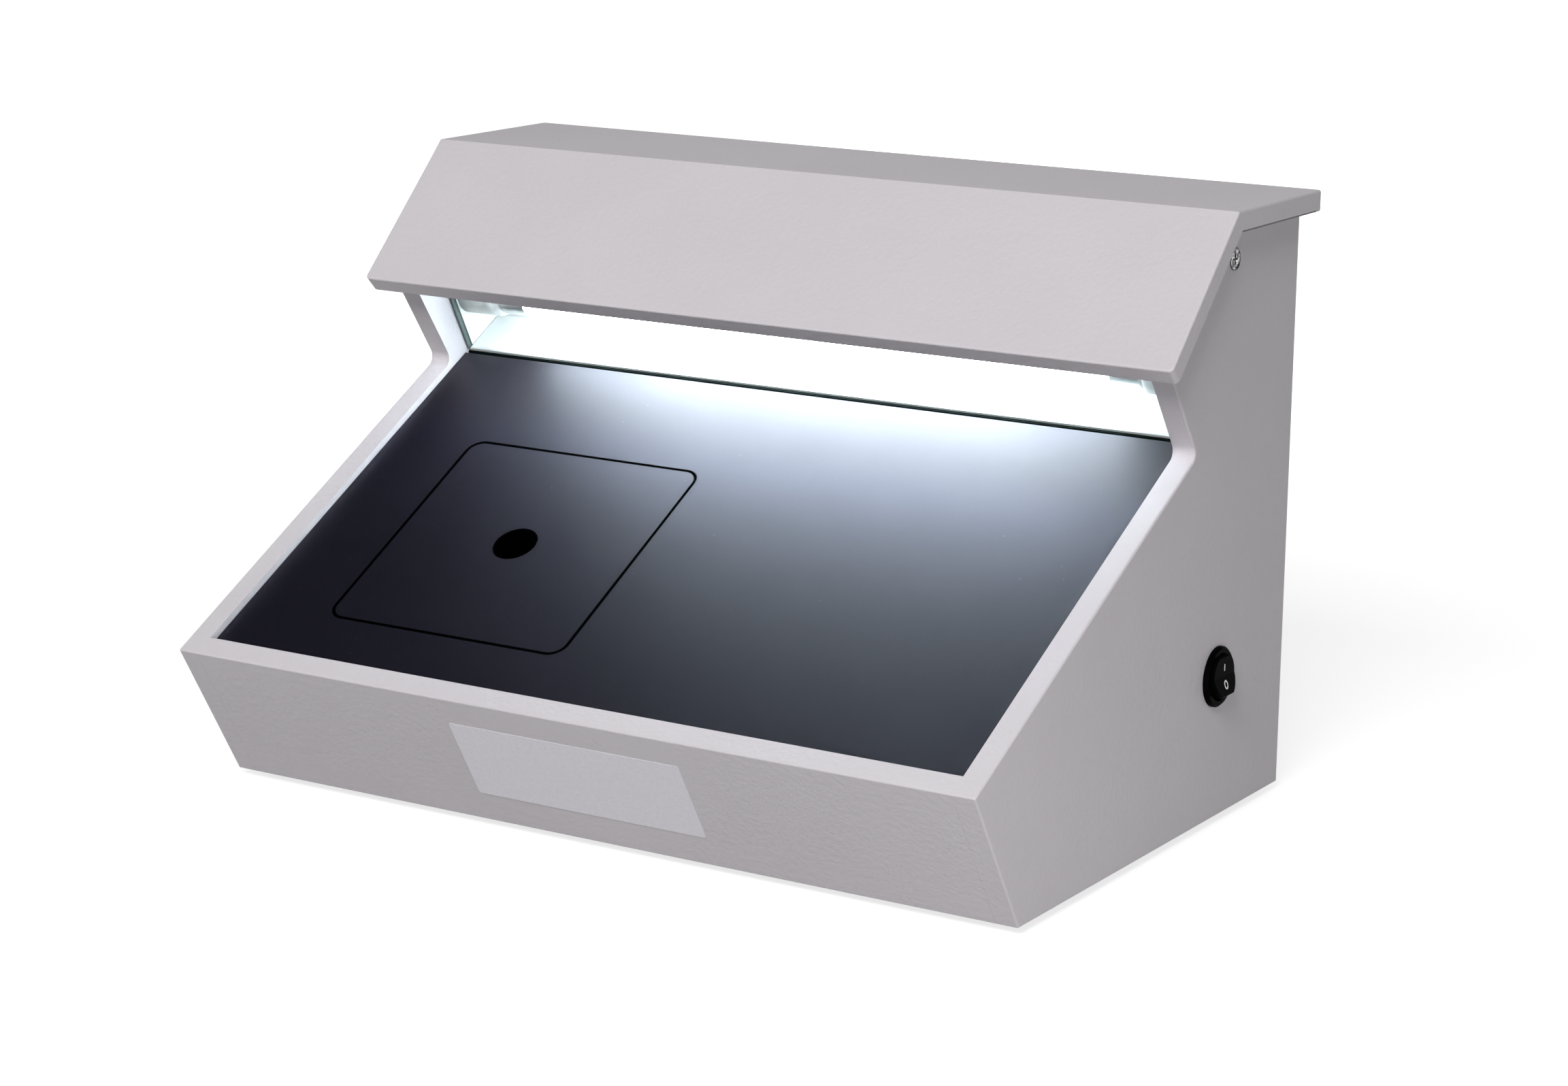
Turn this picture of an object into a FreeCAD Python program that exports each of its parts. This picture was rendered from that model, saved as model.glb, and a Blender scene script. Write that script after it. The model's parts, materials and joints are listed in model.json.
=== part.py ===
import FreeCAD, Part
import math
import os

import Sketcher
from FreeCAD import Placement, Rotation, Vector

# Bench-top viewing cabinet for fabric samples. A sloping black platform lies under a hood that hides a
# fluorescent lamp, so light grazes the samples. X runs to the right, Y to the back and Z up. The origin is
# the middle of the cabinet's plan, on the table.

SIZES = {
    # Painted cabinet boards and the outline of the side panels
    "board": 9.0,
    "inner_width": 326.0,
    "depth": 209.0,
    "apron_height": 54.5,
    "apron_lean": 31.2,
    "platform_slope": 28.7,
    "rim_run": 160.5,
    "waist_lean": 35.0,
    "waist_radius": 4.0,
    "edge_radius": 0.8,
    # Hood
    "top_height": 230.1,
    "ridge_setback": 141.6,
    "hood_drop": 50.5,
    "hood_slope": 45.0,
    "hood_board": 8.0,
    "hood_overhang": 6.5,
    "hood_back_overhang": 5.0,
    "hood_corner": 2.0,
    "ridge_block": 14.0,
    "hood_cleat_width": 18.0,
    "hood_cleat_depth": 20.0,
    "hood_cleat_lead": 8.0,
    "hood_cleat_height": 17.0,
    "hood_screw_setback": 11.6,
    "hood_screw_drop": 11.1,
    "hood_screw_diameter": 4.0,
    "hood_screw_length": 22.0,
    "hood_screw_sink": 0.2,
    "cup_washer_diameter": 8.4,
    "cup_washer_wall": 0.55,
    "cup_washer_rim": 0.3,
    # Platform, its supports and the lift-out plate
    "platform_recess": 2.5,
    "platform_thickness": 6.0,
    "platform_back": 191.8,
    "fit_gap": 0.3,
    "plate_side": 106.0,
    "plate_corner": 6.0,
    "plate_gap": 0.8,
    "plate_seat_gap": 0.2,
    "plate_inset": 38.8,
    "plate_along": 86.8,
    "finger_hole": 18.0,
    "backing_margin": 10.0,
    "backing_thickness": 4.0,
    "backing_hole": 30.0,
    "cleat": 12.0,
    "rail_front": 170.0,
    "rail_drop": 10.0,
    "rail_lip": 12.4,
    # Lamp space
    "cover_gap": 2.0,
    "cover_thickness": 3.0,
    "cover_end_gap": 0.5,
    "cover_toe": 1.0,
    "lamp_setback": 11.2,
    "lamp_rise": 20.3,
    "lamp_end_gap": 2.35,
    "tube_diameter": 15.2,
    "tube_wall": 0.8,
    "cap_diameter": 16.0,
    "cap_length": 12.0,
    "cap_end": 1.5,
    "pin_diameter": 2.37,
    "pin_spacing": 4.75,
    "pin_length": 7.1,
    "pin_clearance": 0.08,
    "holder_thickness": 16.5,
    "holder_width": 19.0,
    "holder_height": 11.5,
    "holder_recess": 8.0,
    "reflector_sheet": 1.0,
    "reflector_depth": 22.0,
    "reflector_hood_gap": 1.0,
    "reflector_top": 16.0,
    "reflector_screw_span": 200.0,
    "reflector_screw_inset": 4.2,
    # Rocker switch on the right side
    "switch_from_back": 58.5,
    "switch_height": 55.2,
    "switch_bezel": 23.0,
    "bezel_height": 2.0,
    "bezel_chamfer": 0.8,
    "switch_body": 20.8,
    "switch_body_length": 21.0,
    "switch_hole_gap": 0.1,
    "rocker_radius": 8.8,
    "rocker_outline": 17.0,
    "rocker_gap": 0.3,
    "rocker_dip": 4.2,
    "rocker_rise": 1.2,
    "rocker_back": 3.0,
    "rocker_sink": 0.8,
    "rocker_tilt": 8.0,
    "rocker_pin": 2.2,
    "rocker_pin_length": 1.4,
    "running_gap": 0.05,
    "window_depth": 12.0,
    "blade_width": 4.8,
    "blade_thickness": 0.8,
    "blade_length": 9.0,
    "blade_spacing": 9.0,
    # Mains inlet with a fuse drawer in the back panel
    "inlet_across": 105.0,
    "inlet_height": 52.0,
    "flange_width": 31.0,
    "flange_height": 50.0,
    "flange_thickness": 2.5,
    "flange_corner": 3.0,
    "inlet_width": 27.0,
    "inlet_tall": 46.0,
    "inlet_depth": 30.0,
    "socket_width": 24.4,
    "socket_height": 16.4,
    "socket_chamfer": 4.5,
    "socket_depth": 16.0,
    "socket_rise": 9.0,
    "inlet_pin_width": 2.0,
    "inlet_pin_height": 4.0,
    "inlet_pin_reach": 13.0,
    "inlet_pin_tail": 8.0,
    "inlet_pin_spacing": 14.0,
    "inlet_earth_rise": 4.0,
    "drawer_width": 20.0,
    "drawer_height": 9.0,
    "drawer_depth": 25.0,
    "drawer_drop": 14.0,
    "drawer_gap": 0.3,
    "fuse_diameter": 5.0,
    "fuse_length": 20.0,
    "fuse_gap": 0.2,
    # Lamp gear on the base
    "ballast_across": -10.0,
    "ballast_from_back": 59.0,
    "ballast_length": 105.0,
    "ballast_width": 40.0,
    "ballast_height": 27.0,
    "ballast_foot": 17.0,
    "ballast_plate": 1.5,
    "ballast_edge": 2.0,
    "ballast_screw_inset": 7.0,
    "ballast_screw_length": 10.0,
    "terminal_length": 12.0,
    "terminal_width": 20.0,
    "terminal_height": 14.0,
    "starter_across": -112.0,
    "starter_from_back": 49.0,
    "starter_diameter": 21.5,
    "starter_height": 33.0,
    "starter_dome": 3.0,
    "starter_holder_diameter": 28.0,
    "starter_holder_height": 12.0,
    "starter_socket": 5.0,
    "starter_gap": 0.3,
    "peg_diameter": 4.0,
    "peg_length": 3.5,
    "peg_spacing": 12.7,
    # Back panel fixings and feet
    "back_cleat_height": 105.0,
    "screw_diameter": 3.5,
    "screw_head": 7.0,
    "screw_head_depth": 2.4,
    "screw_length": 18.0,
    "cross_length": 4.2,
    "cross_width": 0.9,
    "cross_depth": 1.3,
    "back_screw_low": 24.0,
    "back_screw_step": 36.0,
    "foot_height": 3.0,
    "foot_diameter": 16.0,
    "foot_inset": 30.0,
    "foot_recess": 2.6,
    "foot_screw_length": 10.0,
    # Insulated leads
    "lead_diameter": 2.4,
    "lead_bend": 5.0,
    "lead_spacing": 6.0,
    "lead_back_gap": 20.0,
    "lead_stub": 12.0,
    "lead_loop": 22.0,
    "lead_drop": 6.0,
}

doc = FreeCAD.newDocument("viewing_cabinet")
sheet = doc.addObject("Spreadsheet::Sheet", "Sizes")
for row, (alias, number) in enumerate(SIZES.items(), start=1):
    sheet.set(f"A{row}", alias)
    sheet.set(f"B{row}", str(number))
    sheet.setAlias(f"B{row}", alias)
doc.recompute()

subparts = []

# Named expressions. Profile places count from the toe, the lower front edge of the side panels.
TOE_Y = "(-(Sizes.depth + Sizes.hood_back_overhang - Sizes.apron_height * tan(Sizes.apron_lean)) / 2)"
FLOOR_Z = "Sizes.foot_height"
HALF_INNER = "(Sizes.inner_width / 2)"
HALF_OUTER = "(Sizes.inner_width / 2 + Sizes.board)"
HOOD_WIDTH = "(Sizes.inner_width + 2 * Sizes.board + 2 * Sizes.hood_overhang)"
NOSE = ("(-Sizes.apron_height * tan(Sizes.apron_lean))", "Sizes.apron_height")
WAIST = (f"({NOSE[0]} + Sizes.rim_run)", "(Sizes.apron_height + Sizes.rim_run * tan(Sizes.platform_slope))")
RIDGE = ("Sizes.ridge_setback", "Sizes.top_height")
HOOD_UNDER = "(Sizes.top_height - Sizes.hood_board)"
RIDGE_INNER = (
    "(Sizes.ridge_setback + Sizes.hood_board * (1 - cos(Sizes.hood_slope)) / sin(Sizes.hood_slope))",
    HOOD_UNDER,
)
LIP = (
    "(Sizes.ridge_setback - Sizes.hood_drop / tan(Sizes.hood_slope))",
    "(Sizes.top_height - Sizes.hood_drop)",
)
LIP_INNER = (
    f"({LIP[0]} + Sizes.hood_board * sin(Sizes.hood_slope))",
    f"({LIP[1]} - Sizes.hood_board * cos(Sizes.hood_slope))",
)
PLATFORM_UNDER = "(Sizes.platform_recess + Sizes.platform_thickness)"
APRON_TURN = "(Sizes.apron_lean - Sizes.platform_slope)"
COVER_FRONT = "(Sizes.platform_back + Sizes.cover_gap)"
COVER_REAR = "(Sizes.platform_back + Sizes.cover_gap + Sizes.cover_thickness)"
LAMP_ALONG = f"({COVER_REAR} + Sizes.lamp_setback)"
LAMP_ABOVE = "(Sizes.lamp_rise - Sizes.platform_recess)"
HOLDER_FACE = f"({HALF_INNER} - Sizes.holder_thickness)"
LEAD_ABOVE = f"({LAMP_ABOVE} - Sizes.lead_drop)"
BASE_TOP = "Sizes.board"
HOOD_SCREW = ("(Sizes.ridge_setback + Sizes.hood_screw_setback)", f"({HOOD_UNDER} - Sizes.hood_screw_drop)")
SHANK_R = "Sizes.hood_screw_diameter / 2"
CUP_R = "Sizes.cup_washer_diameter / 2"
SWITCH = ("(Sizes.depth - Sizes.switch_from_back)", "Sizes.switch_height")


def behind_hood_face(point):
    """How far a profile point lies behind the hood's sloping front face."""
    return (
        f"((({point[0]}) - Sizes.ridge_setback) * sin(Sizes.hood_slope)"
        f" - (({point[1]}) - Sizes.top_height) * cos(Sizes.hood_slope))"
    )


def on_rim(along, above):
    """Profile point at a distance along the sloping rim from its nose, and a height square to it."""
    across = f"({NOSE[0]} + ({along}) * cos(Sizes.platform_slope) - ({above}) * sin(Sizes.platform_slope))"
    up = f"({NOSE[1]} + ({along}) * sin(Sizes.platform_slope) + ({above}) * cos(Sizes.platform_slope))"
    return across, up


WAIST_RISE = f"(({behind_hood_face(WAIST)} - Sizes.hood_board) / cos(Sizes.waist_lean - Sizes.hood_slope))"
WAIST_TOP = (
    f"({WAIST[0]} - {WAIST_RISE} * sin(Sizes.waist_lean))",
    f"({WAIST[1]} + {WAIST_RISE} * cos(Sizes.waist_lean))",
)


def under_hood(along, gap):
    """Height square to the rim at which a point along it comes within a gap of the hood's inner face."""
    turn = "(Sizes.hood_slope - Sizes.platform_slope)"
    return f"(({behind_hood_face(NOSE)} + ({along}) * sin{turn} - Sizes.hood_board - {gap}) / cos{turn})"


COVER_TOP = under_hood(COVER_FRONT, "Sizes.fit_gap")


def size(alias):
    return float(sheet.get(alias))


def keep(item, label):
    """Name a finished sub-part, so that it is written to its own file."""
    item.Label = label
    subparts.append(item)
    return item


def put(item, x="0", y="0", z="0", turn=None, axis=Vector(1, 0, 0)):
    """Bind an item's place, counted from the toe, and its turn about an axis."""
    if turn is not None:
        item.Placement = Placement(Vector(), Rotation(axis, 1.0))
        item.setExpression("Placement.Rotation.Angle", turn)
    item.setExpression("Placement.Base.x", x)
    item.setExpression("Placement.Base.y", f"{TOE_Y} + ({y})")
    item.setExpression("Placement.Base.z", f"{FLOOR_Z} + ({z})")
    return item


def put_on_slope(item, x="0", along="0", above="0"):
    """Bind an item to the platform's own frame: Y runs up the slope from the nose, Z square to it."""
    y, z = on_rim(along, above)
    return put(item, x, y, z, turn="Sizes.platform_slope")


def new_body(label):
    return keep(doc.addObject("PartDesign::Body", label), label)


def new_sketch(body, role, lift="0"):
    """Sketch on one of the body's own origin planes, moved along that plane's normal."""
    plane = next(item for item in body.Origin.OriginFeatures if item.Role == role)
    sketch = body.newObject("Sketcher::SketchObject", f"{body.Name}_sketch")
    sketch.AttachmentSupport = [(plane, "")]
    sketch.MapMode = "FlatFace"
    sketch.setExpression("AttachmentOffset.Base.z", lift)
    return sketch


def pin_point(sketch, geometry, vertex, across, up):
    """Hold a sketch point at a place given by two expressions."""
    for kind, text in (("DistanceX", across), ("DistanceY", up)):
        index = sketch.addConstraint(Sketcher.Constraint(kind, -1, 1, geometry, vertex, 1.0))
        sketch.setExpression(f"Constraints[{index}]", text)


def draw_polygon(sketch, corners):
    """Closed outline through corners given as pairs of expressions."""
    count = len(corners)
    first = sketch.GeometryCount
    steps = [2 * math.pi * i / count for i in range(count)]
    ring = [Vector(100 * math.cos(step), 100 * math.sin(step), 0) for step in steps]
    for i in range(count):
        sketch.addGeometry(Part.LineSegment(ring[i], ring[(i + 1) % count]), False)
    for i in range(count):
        sketch.addConstraint(Sketcher.Constraint("Coincident", first + i, 2, first + (i + 1) % count, 1))
    for i, (across, up) in enumerate(corners):
        pin_point(sketch, first + i, 1, across, up)
    return sketch


def draw_rectangle(sketch, left, right, bottom, top):
    return draw_polygon(sketch, [(left, bottom), (right, bottom), (right, top), (left, top)])


def draw_centred(sketch, width, height, across="0", up="0"):
    return draw_rectangle(
        sketch,
        f"{across} - ({width}) / 2", f"{across} + ({width}) / 2",
        f"{up} - ({height}) / 2", f"{up} + ({height}) / 2",
    )


def draw_cross(sketch, across="0", up="0"):
    """Outline of a screw's cross recess."""
    wide, slim = "Sizes.cross_length / 2", "Sizes.cross_width / 2"
    quarter = [(wide, slim), (slim, slim), (slim, wide)]
    corners = []
    for turn_x, turn_y, way in ((1, 1, 1), (-1, 1, -1), (-1, -1, 1), (1, -1, -1)):
        corners += [(f"{across} + {turn_x} * {x}", f"{up} + {turn_y} * {y}") for x, y in quarter[::way]]
    return draw_polygon(sketch, corners)


def draw_circle(sketch, diameter, across="0", up="0"):
    index = sketch.addGeometry(Part.Circle(Vector(1, 1, 0), Vector(0, 0, 1), 5.0), False)
    pin_point(sketch, index, 3, across, up)
    constraint = sketch.addConstraint(Sketcher.Constraint("Diameter", index, 10.0))
    sketch.setExpression(f"Constraints[{constraint}]", diameter)
    return sketch


def pad(body, sketch, length, backwards=False, middle=False):
    feature = body.newObject("PartDesign::Pad", f"{body.Name}_pad")
    feature.Profile = sketch
    feature.Reversed = backwards
    feature.SideType = "Symmetric" if middle else "One side"
    feature.setExpression("Length", length)
    sketch.Visibility = False
    doc.recompute()
    return feature


def cut(body, sketch, length=None, backwards=False, middle=False):
    """Pocket of a given depth, or through everything, that has to remove material."""
    doc.recompute()
    before = body.Shape.Volume
    feature = body.newObject("PartDesign::Pocket", f"{body.Name}_pocket")
    feature.Profile = sketch
    feature.Reversed = backwards
    feature.SideType = "Symmetric" if middle else "One side"
    if length is None:
        feature.Type = "ThroughAll"
    else:
        feature.setExpression("Length", length)
    sketch.Visibility = False
    doc.recompute()
    if body.Shape.Volume > before - 1e-6:
        raise RuntimeError(f"A pocket of {body.Label} removes nothing")
    return feature


def ease(body, radius, chosen, kind="PartDesign::Fillet"):
    """Round or chamfer the edges of the body's last feature that a test on two end points chooses."""
    doc.recompute()
    last = body.Tip
    names = []
    for index, edge in enumerate(last.Shape.Edges, start=1):
        ends = [vertex.Point for vertex in edge.Vertexes]
        if chosen(edge, ends[0], ends[-1]):
            names.append(f"Edge{index}")
    feature = body.newObject(kind, f"{body.Name}_edges")
    feature.Base = (last, names)
    feature.setExpression("Radius" if kind.endswith("Fillet") else "Size", radius)
    doc.recompute()
    return feature


def runs_along(edge, axis):
    """True for a straight edge that follows an axis."""
    if not isinstance(edge.Curve, Part.Line):
        return False
    return abs(edge.tangentAt(edge.FirstParameter).dot(axis)) > 0.999


X_AXIS = Vector(1, 0, 0)
Y_AXIS = Vector(0, 1, 0)
Z_AXIS = Vector(0, 0, 1)


def number(text):
    """Value of one of the named expressions, as the document works it out."""
    gauge.setExpression("Length", f"({text}) + {GAUGE_LIFT}")
    gauge.recompute()
    return gauge.Length.Value - GAUGE_LIFT


# A hidden measuring block, longer than any place on the cabinet is negative
GAUGE_LIFT = 1000.0
gauge = doc.addObject("Part::Box", "gauge")


def profile_board(label, corners, width, x="0", slope=False):
    """Board with its outline drawn in the YZ plane and its width along X, half to each side."""
    body = new_body(label)
    pad(body, draw_polygon(new_sketch(body, "YZ_Plane"), corners), width, middle=True)
    return put_on_slope(body, x) if slope else put(body, x)


# Side panels: cranked outline from the toe over the nose, up the rim, round the waist and under the hood.
def side_panel(label, side):
    body = profile_board(
        label,
        [("0", "0"), NOSE, WAIST, WAIST_TOP, RIDGE_INNER, ("Sizes.depth", HOOD_UNDER), ("Sizes.depth", "0")],
        "Sizes.board",
        f"{side} * ({HALF_INNER} + Sizes.board / 2)",
    )
    waist = Vector(0, number(WAIST[0]), number(WAIST[1]))
    on_waist = lambda edge, a, b: runs_along(edge, X_AXIS) and abs(a.y - waist.y) + abs(a.z - waist.z) < 0.01
    ease(body, "Sizes.waist_radius", on_waist)
    outer = side * size("board") / 2
    hood_under = number(HOOD_UNDER)
    waist_top = number(WAIST_TOP[1])

    def shows(edge, a, b):
        """Outer arris that the hood leaves bare, and the corners of the toe and the nose."""
        if abs(a.x - outer) < 0.01 and abs(b.x - outer) < 0.01:
            under_top = abs(a.z - hood_under) < 0.01 and abs(b.z - hood_under) < 0.01
            under_front = min(a.z, b.z) > waist_top - 0.01 and abs(a.y - b.y) > 0.01
            return not under_top and not under_front
        return runs_along(edge, X_AXIS) and a.y < 0.01 and a.z < size("apron_height") + 0.01

    ease(body, "Sizes.edge_radius", shows)
    return body


left_panel = side_panel("left_side_panel", -1)
right_panel = side_panel("right_side_panel", 1)
for panel, side in ((left_panel, -1), (right_panel, 1)):
    holes = new_sketch(panel, "YZ_Plane")
    draw_circle(holes, "Sizes.hood_screw_diameter + 2 * Sizes.running_gap", *HOOD_SCREW)
    if panel is right_panel:
        draw_circle(holes, "Sizes.switch_body + 2 * Sizes.switch_hole_gap", *SWITCH)
    cut(panel, holes, middle=True)
    mouth = Vector(side * size("board") / 2, number(HOOD_SCREW[0]), number(HOOD_SCREW[1]))
    at_mouth = lambda edge, a, b: len(edge.Vertexes) == 1 and (a - mouth).Length < size("hood_screw_diameter")
    ease(panel, f"{CUP_R} - {SHANK_R}", at_mouth, kind="PartDesign::Chamfer")

# Front apron: leaning board between the side panels, its top edge level with their rims.
APRON_TOP_INNER = on_rim(f"Sizes.board / cos({APRON_TURN})", "0")
APRON_FOOT_INNER = ("(Sizes.board / cos(Sizes.apron_lean))", "0")
apron = profile_board(
    "front_apron", [("0", "0"), NOSE, APRON_TOP_INNER, APRON_FOOT_INNER], "Sizes.inner_width")
nose_y = number(NOSE[0])
ease(apron, "Sizes.edge_radius",
     lambda edge, a, b: runs_along(edge, X_AXIS) and min(abs(a.y - nose_y), abs(a.y) + abs(a.z)) < 0.01)

# Base: board between the side panels, bevelled where it meets the apron, drilled for its fixings.
base = profile_board(
    "base_panel",
    [
        APRON_FOOT_INNER,
        (f"({APRON_FOOT_INNER[0]} - Sizes.board * tan(Sizes.apron_lean))", BASE_TOP),
        ("(Sizes.depth - Sizes.board)", BASE_TOP),
        ("(Sizes.depth - Sizes.board)", "0"),
    ],
    "Sizes.inner_width")
FOOT_SPOTS = [
    (f"{sign} * ({HALF_OUTER} - Sizes.foot_inset)", y)
    for sign in (-1, 1)
    for y in ("Sizes.foot_inset", "(Sizes.depth - Sizes.foot_inset)")
]
BALLAST = ("Sizes.ballast_across", "(Sizes.depth - Sizes.ballast_from_back)")
BALLAST_FOOT_X = "(Sizes.ballast_length / 2 + Sizes.ballast_foot / 2)"
BALLAST_FOOT_Y = "(Sizes.ballast_screw_inset - Sizes.ballast_width / 2)"
BALLAST_SPOTS = [
    (f"{BALLAST[0]} + {sign} * {BALLAST_FOOT_X}", f"{BALLAST[1]} + {BALLAST_FOOT_Y}") for sign in (-1, 1)
]
base_holes = new_sketch(base, "XY_Plane")
for across, along in FOOT_SPOTS + BALLAST_SPOTS:
    draw_circle(base_holes, "Sizes.screw_diameter", across, along)
cut(base, base_holes, middle=True)

# Back panel: screwed to two upright cleats, with the cut-out for the mains inlet.
BACK_SCREW_X = f"({HALF_INNER} - Sizes.cleat / 2)"
BACK_SCREW_HEIGHTS = [f"(Sizes.back_screw_low + {step} * Sizes.back_screw_step)" for step in range(3)]
back = new_body("back_panel")
back_sketch = new_sketch(back, "XZ_Plane")
draw_rectangle(back_sketch, f"-{HALF_INNER}", HALF_INNER, "0", HOOD_UNDER)
draw_centred(back_sketch, "Sizes.inlet_width", "Sizes.inlet_tall", "Sizes.inlet_across", "Sizes.inlet_height")
for height in BACK_SCREW_HEIGHTS:
    for sign in ("-", ""):
        draw_circle(back_sketch, "Sizes.screw_diameter", f"{sign}{BACK_SCREW_X}", height)
pad(back, back_sketch, "Sizes.board")
sinks = new_sketch(back, "XZ_Plane")
for height in BACK_SCREW_HEIGHTS:
    for sign in ("-", ""):
        draw_circle(sinks, "Sizes.screw_head", f"{sign}{BACK_SCREW_X}", height)
cut(back, sinks, "Sizes.screw_head_depth", backwards=True)
put(back, y="Sizes.depth")

for label, sign in (("back_cleat_left", -1), ("back_cleat_right", 1)):
    cleat = new_body(label)
    outline = new_sketch(cleat, "XZ_Plane")
    draw_rectangle(outline, "-Sizes.cleat / 2", "Sizes.cleat / 2",
                   BASE_TOP, f"{BASE_TOP} + Sizes.back_cleat_height")
    for height in BACK_SCREW_HEIGHTS:
        draw_circle(outline, "Sizes.screw_diameter", "0", height)
    pad(cleat, outline, "Sizes.cleat")
    put(cleat, x=f"{sign} * {BACK_SCREW_X}", y="Sizes.depth - Sizes.board")


def screw_row(label, role, spots, length, backwards=False):
    """Row of like screws: heads and shanks that start on one plane and run the same way."""
    body = new_body(label)
    heads = new_sketch(body, role)
    shanks = new_sketch(body, role)
    for across, up in spots:
        draw_circle(heads, "Sizes.screw_head", across, up)
        draw_circle(shanks, "Sizes.screw_diameter", across, up)
    pad(body, heads, "Sizes.screw_head_depth", backwards)
    pad(body, shanks, length, backwards)
    recesses = new_sketch(body, role)
    for across, up in spots:
        draw_cross(recesses, across, up)
    cut(body, recesses, "Sizes.cross_depth", backwards=not backwards)
    return body


back_screw_spots = [(f"{sign}{BACK_SCREW_X}", height) for height in BACK_SCREW_HEIGHTS for sign in ("-", "")]
put(screw_row("back_panel_screws", "XZ_Plane", back_screw_spots, "Sizes.screw_length"), y="Sizes.depth")

# Platform: black board in its own sloping frame, with a rounded square opening for the lift-out plate.
PLATFORM_FRONT = f"(Sizes.board / cos({APRON_TURN}) + {PLATFORM_UNDER} * tan({APRON_TURN}) + Sizes.fit_gap)"
OPENING = "(Sizes.plate_side + 2 * Sizes.plate_gap)"
PLATE_SPOT = (f"(Sizes.plate_inset + Sizes.plate_side / 2 - {HALF_INNER})", "Sizes.plate_along")
platform = new_body("viewing_platform")
platform_outline = new_sketch(platform, "XY_Plane")
draw_rectangle(platform_outline, f"-({HALF_INNER} - Sizes.fit_gap)", f"{HALF_INNER} - Sizes.fit_gap",
               PLATFORM_FRONT, "Sizes.platform_back")
pad(platform, platform_outline, "Sizes.platform_thickness", backwards=True)
opening = new_sketch(platform, "XY_Plane")
draw_centred(opening, OPENING, OPENING, *PLATE_SPOT)
cut(platform, opening)
half_opening = number(OPENING) / 2
plate_centre = Vector(number(PLATE_SPOT[0]), number(PLATE_SPOT[1]), 0)


def at_opening(edge, a, b):
    off = a - plate_centre
    return runs_along(edge, Z_AXIS) and max(abs(off.x), abs(off.y)) < half_opening + 0.01


ease(platform, "Sizes.plate_corner + Sizes.plate_gap", at_opening)
put_on_slope(platform, above="-Sizes.platform_recess")

# Backing board under the opening: the plate lies on it, and its hole takes the finger tip.
backing = new_body("plate_backing_board")
backing_outline = new_sketch(backing, "XY_Plane")
BACKING_SIDE = f"({OPENING} + 2 * Sizes.backing_margin)"
draw_centred(backing_outline, BACKING_SIDE, BACKING_SIDE)
draw_circle(backing_outline, "Sizes.backing_hole")
pad(backing, backing_outline, "Sizes.backing_thickness", backwards=True)
put_on_slope(backing, *PLATE_SPOT, f"-{PLATFORM_UNDER}")

# Lift-out specimen plate, flush with the platform, with a finger hole in its middle.
plate = new_body("specimen_plate")
plate_outline = new_sketch(plate, "XY_Plane")
draw_centred(plate_outline, "Sizes.plate_side", "Sizes.plate_side")
draw_circle(plate_outline, "Sizes.finger_hole")
pad(plate, plate_outline, "Sizes.platform_thickness - Sizes.plate_seat_gap", backwards=True)
ease(plate, "Sizes.plate_corner", lambda edge, a, b: runs_along(edge, Z_AXIS) and len(edge.Vertexes) == 2)
put_on_slope(plate, *PLATE_SPOT, "-Sizes.platform_recess")


# Cleats under the platform's sides and front edge.
def slope_batten(label, left, right, front, rear):
    body = new_body(label)
    outline = draw_rectangle(new_sketch(body, "XY_Plane"), left, right, front, rear)
    pad(body, outline, "Sizes.cleat", backwards=True)
    return put_on_slope(body, above=f"-{PLATFORM_UNDER}")


FRONT_CLEAT = f"({PLATFORM_FRONT} + Sizes.cleat * tan({APRON_TURN}))"
FRONT_CLEAT_REAR = f"({FRONT_CLEAT} + Sizes.cleat)"
SIDE_CLEAT_INNER = f"({HALF_INNER} - Sizes.cleat)"
SIDE_RUN = (FRONT_CLEAT_REAR, "Sizes.rail_front")
slope_batten("platform_front_cleat", f"-{HALF_INNER}", HALF_INNER, FRONT_CLEAT, FRONT_CLEAT_REAR)
slope_batten("platform_cleat_left", f"-{HALF_INNER}", f"-{SIDE_CLEAT_INNER}", *SIDE_RUN)
slope_batten("platform_cleat_right", SIDE_CLEAT_INNER, HALF_INNER, *SIDE_RUN)

# Rear rail: rebated so that it carries the platform's back edge, and behind it the reflector and the cover.
RAIL_REAR = f"({COVER_FRONT} + Sizes.rail_lip)"
RAIL_TOP = "(-Sizes.platform_recess - Sizes.reflector_sheet)"
RAIL_FOOT = f"(-{PLATFORM_UNDER} - Sizes.rail_drop)"
rail = profile_board(
    "rear_rail",
    [
        ("Sizes.rail_front", RAIL_FOOT),
        (RAIL_REAR, RAIL_FOOT),
        (RAIL_REAR, RAIL_TOP),
        (COVER_FRONT, RAIL_TOP),
        (COVER_FRONT, f"-{PLATFORM_UNDER}"),
        ("Sizes.rail_front", f"-{PLATFORM_UNDER}"),
    ],
    "Sizes.inner_width", slope=True)
REFLECTOR_SPOTS = [
    (f"{sign} * Sizes.reflector_screw_span / 2", f"({RAIL_REAR} - Sizes.reflector_screw_inset)")
    for sign in (-1, 1)
]


def drill_reflector_fixings(body):
    """Holes for the reflector's screws, drilled downwards from the rim's level."""
    holes = new_sketch(body, "XY_Plane")
    for across, along in REFLECTOR_SPOTS:
        draw_circle(holes, "Sizes.screw_diameter", across, along)
    cut(body, holes)


drill_reflector_fixings(rail)

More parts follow.
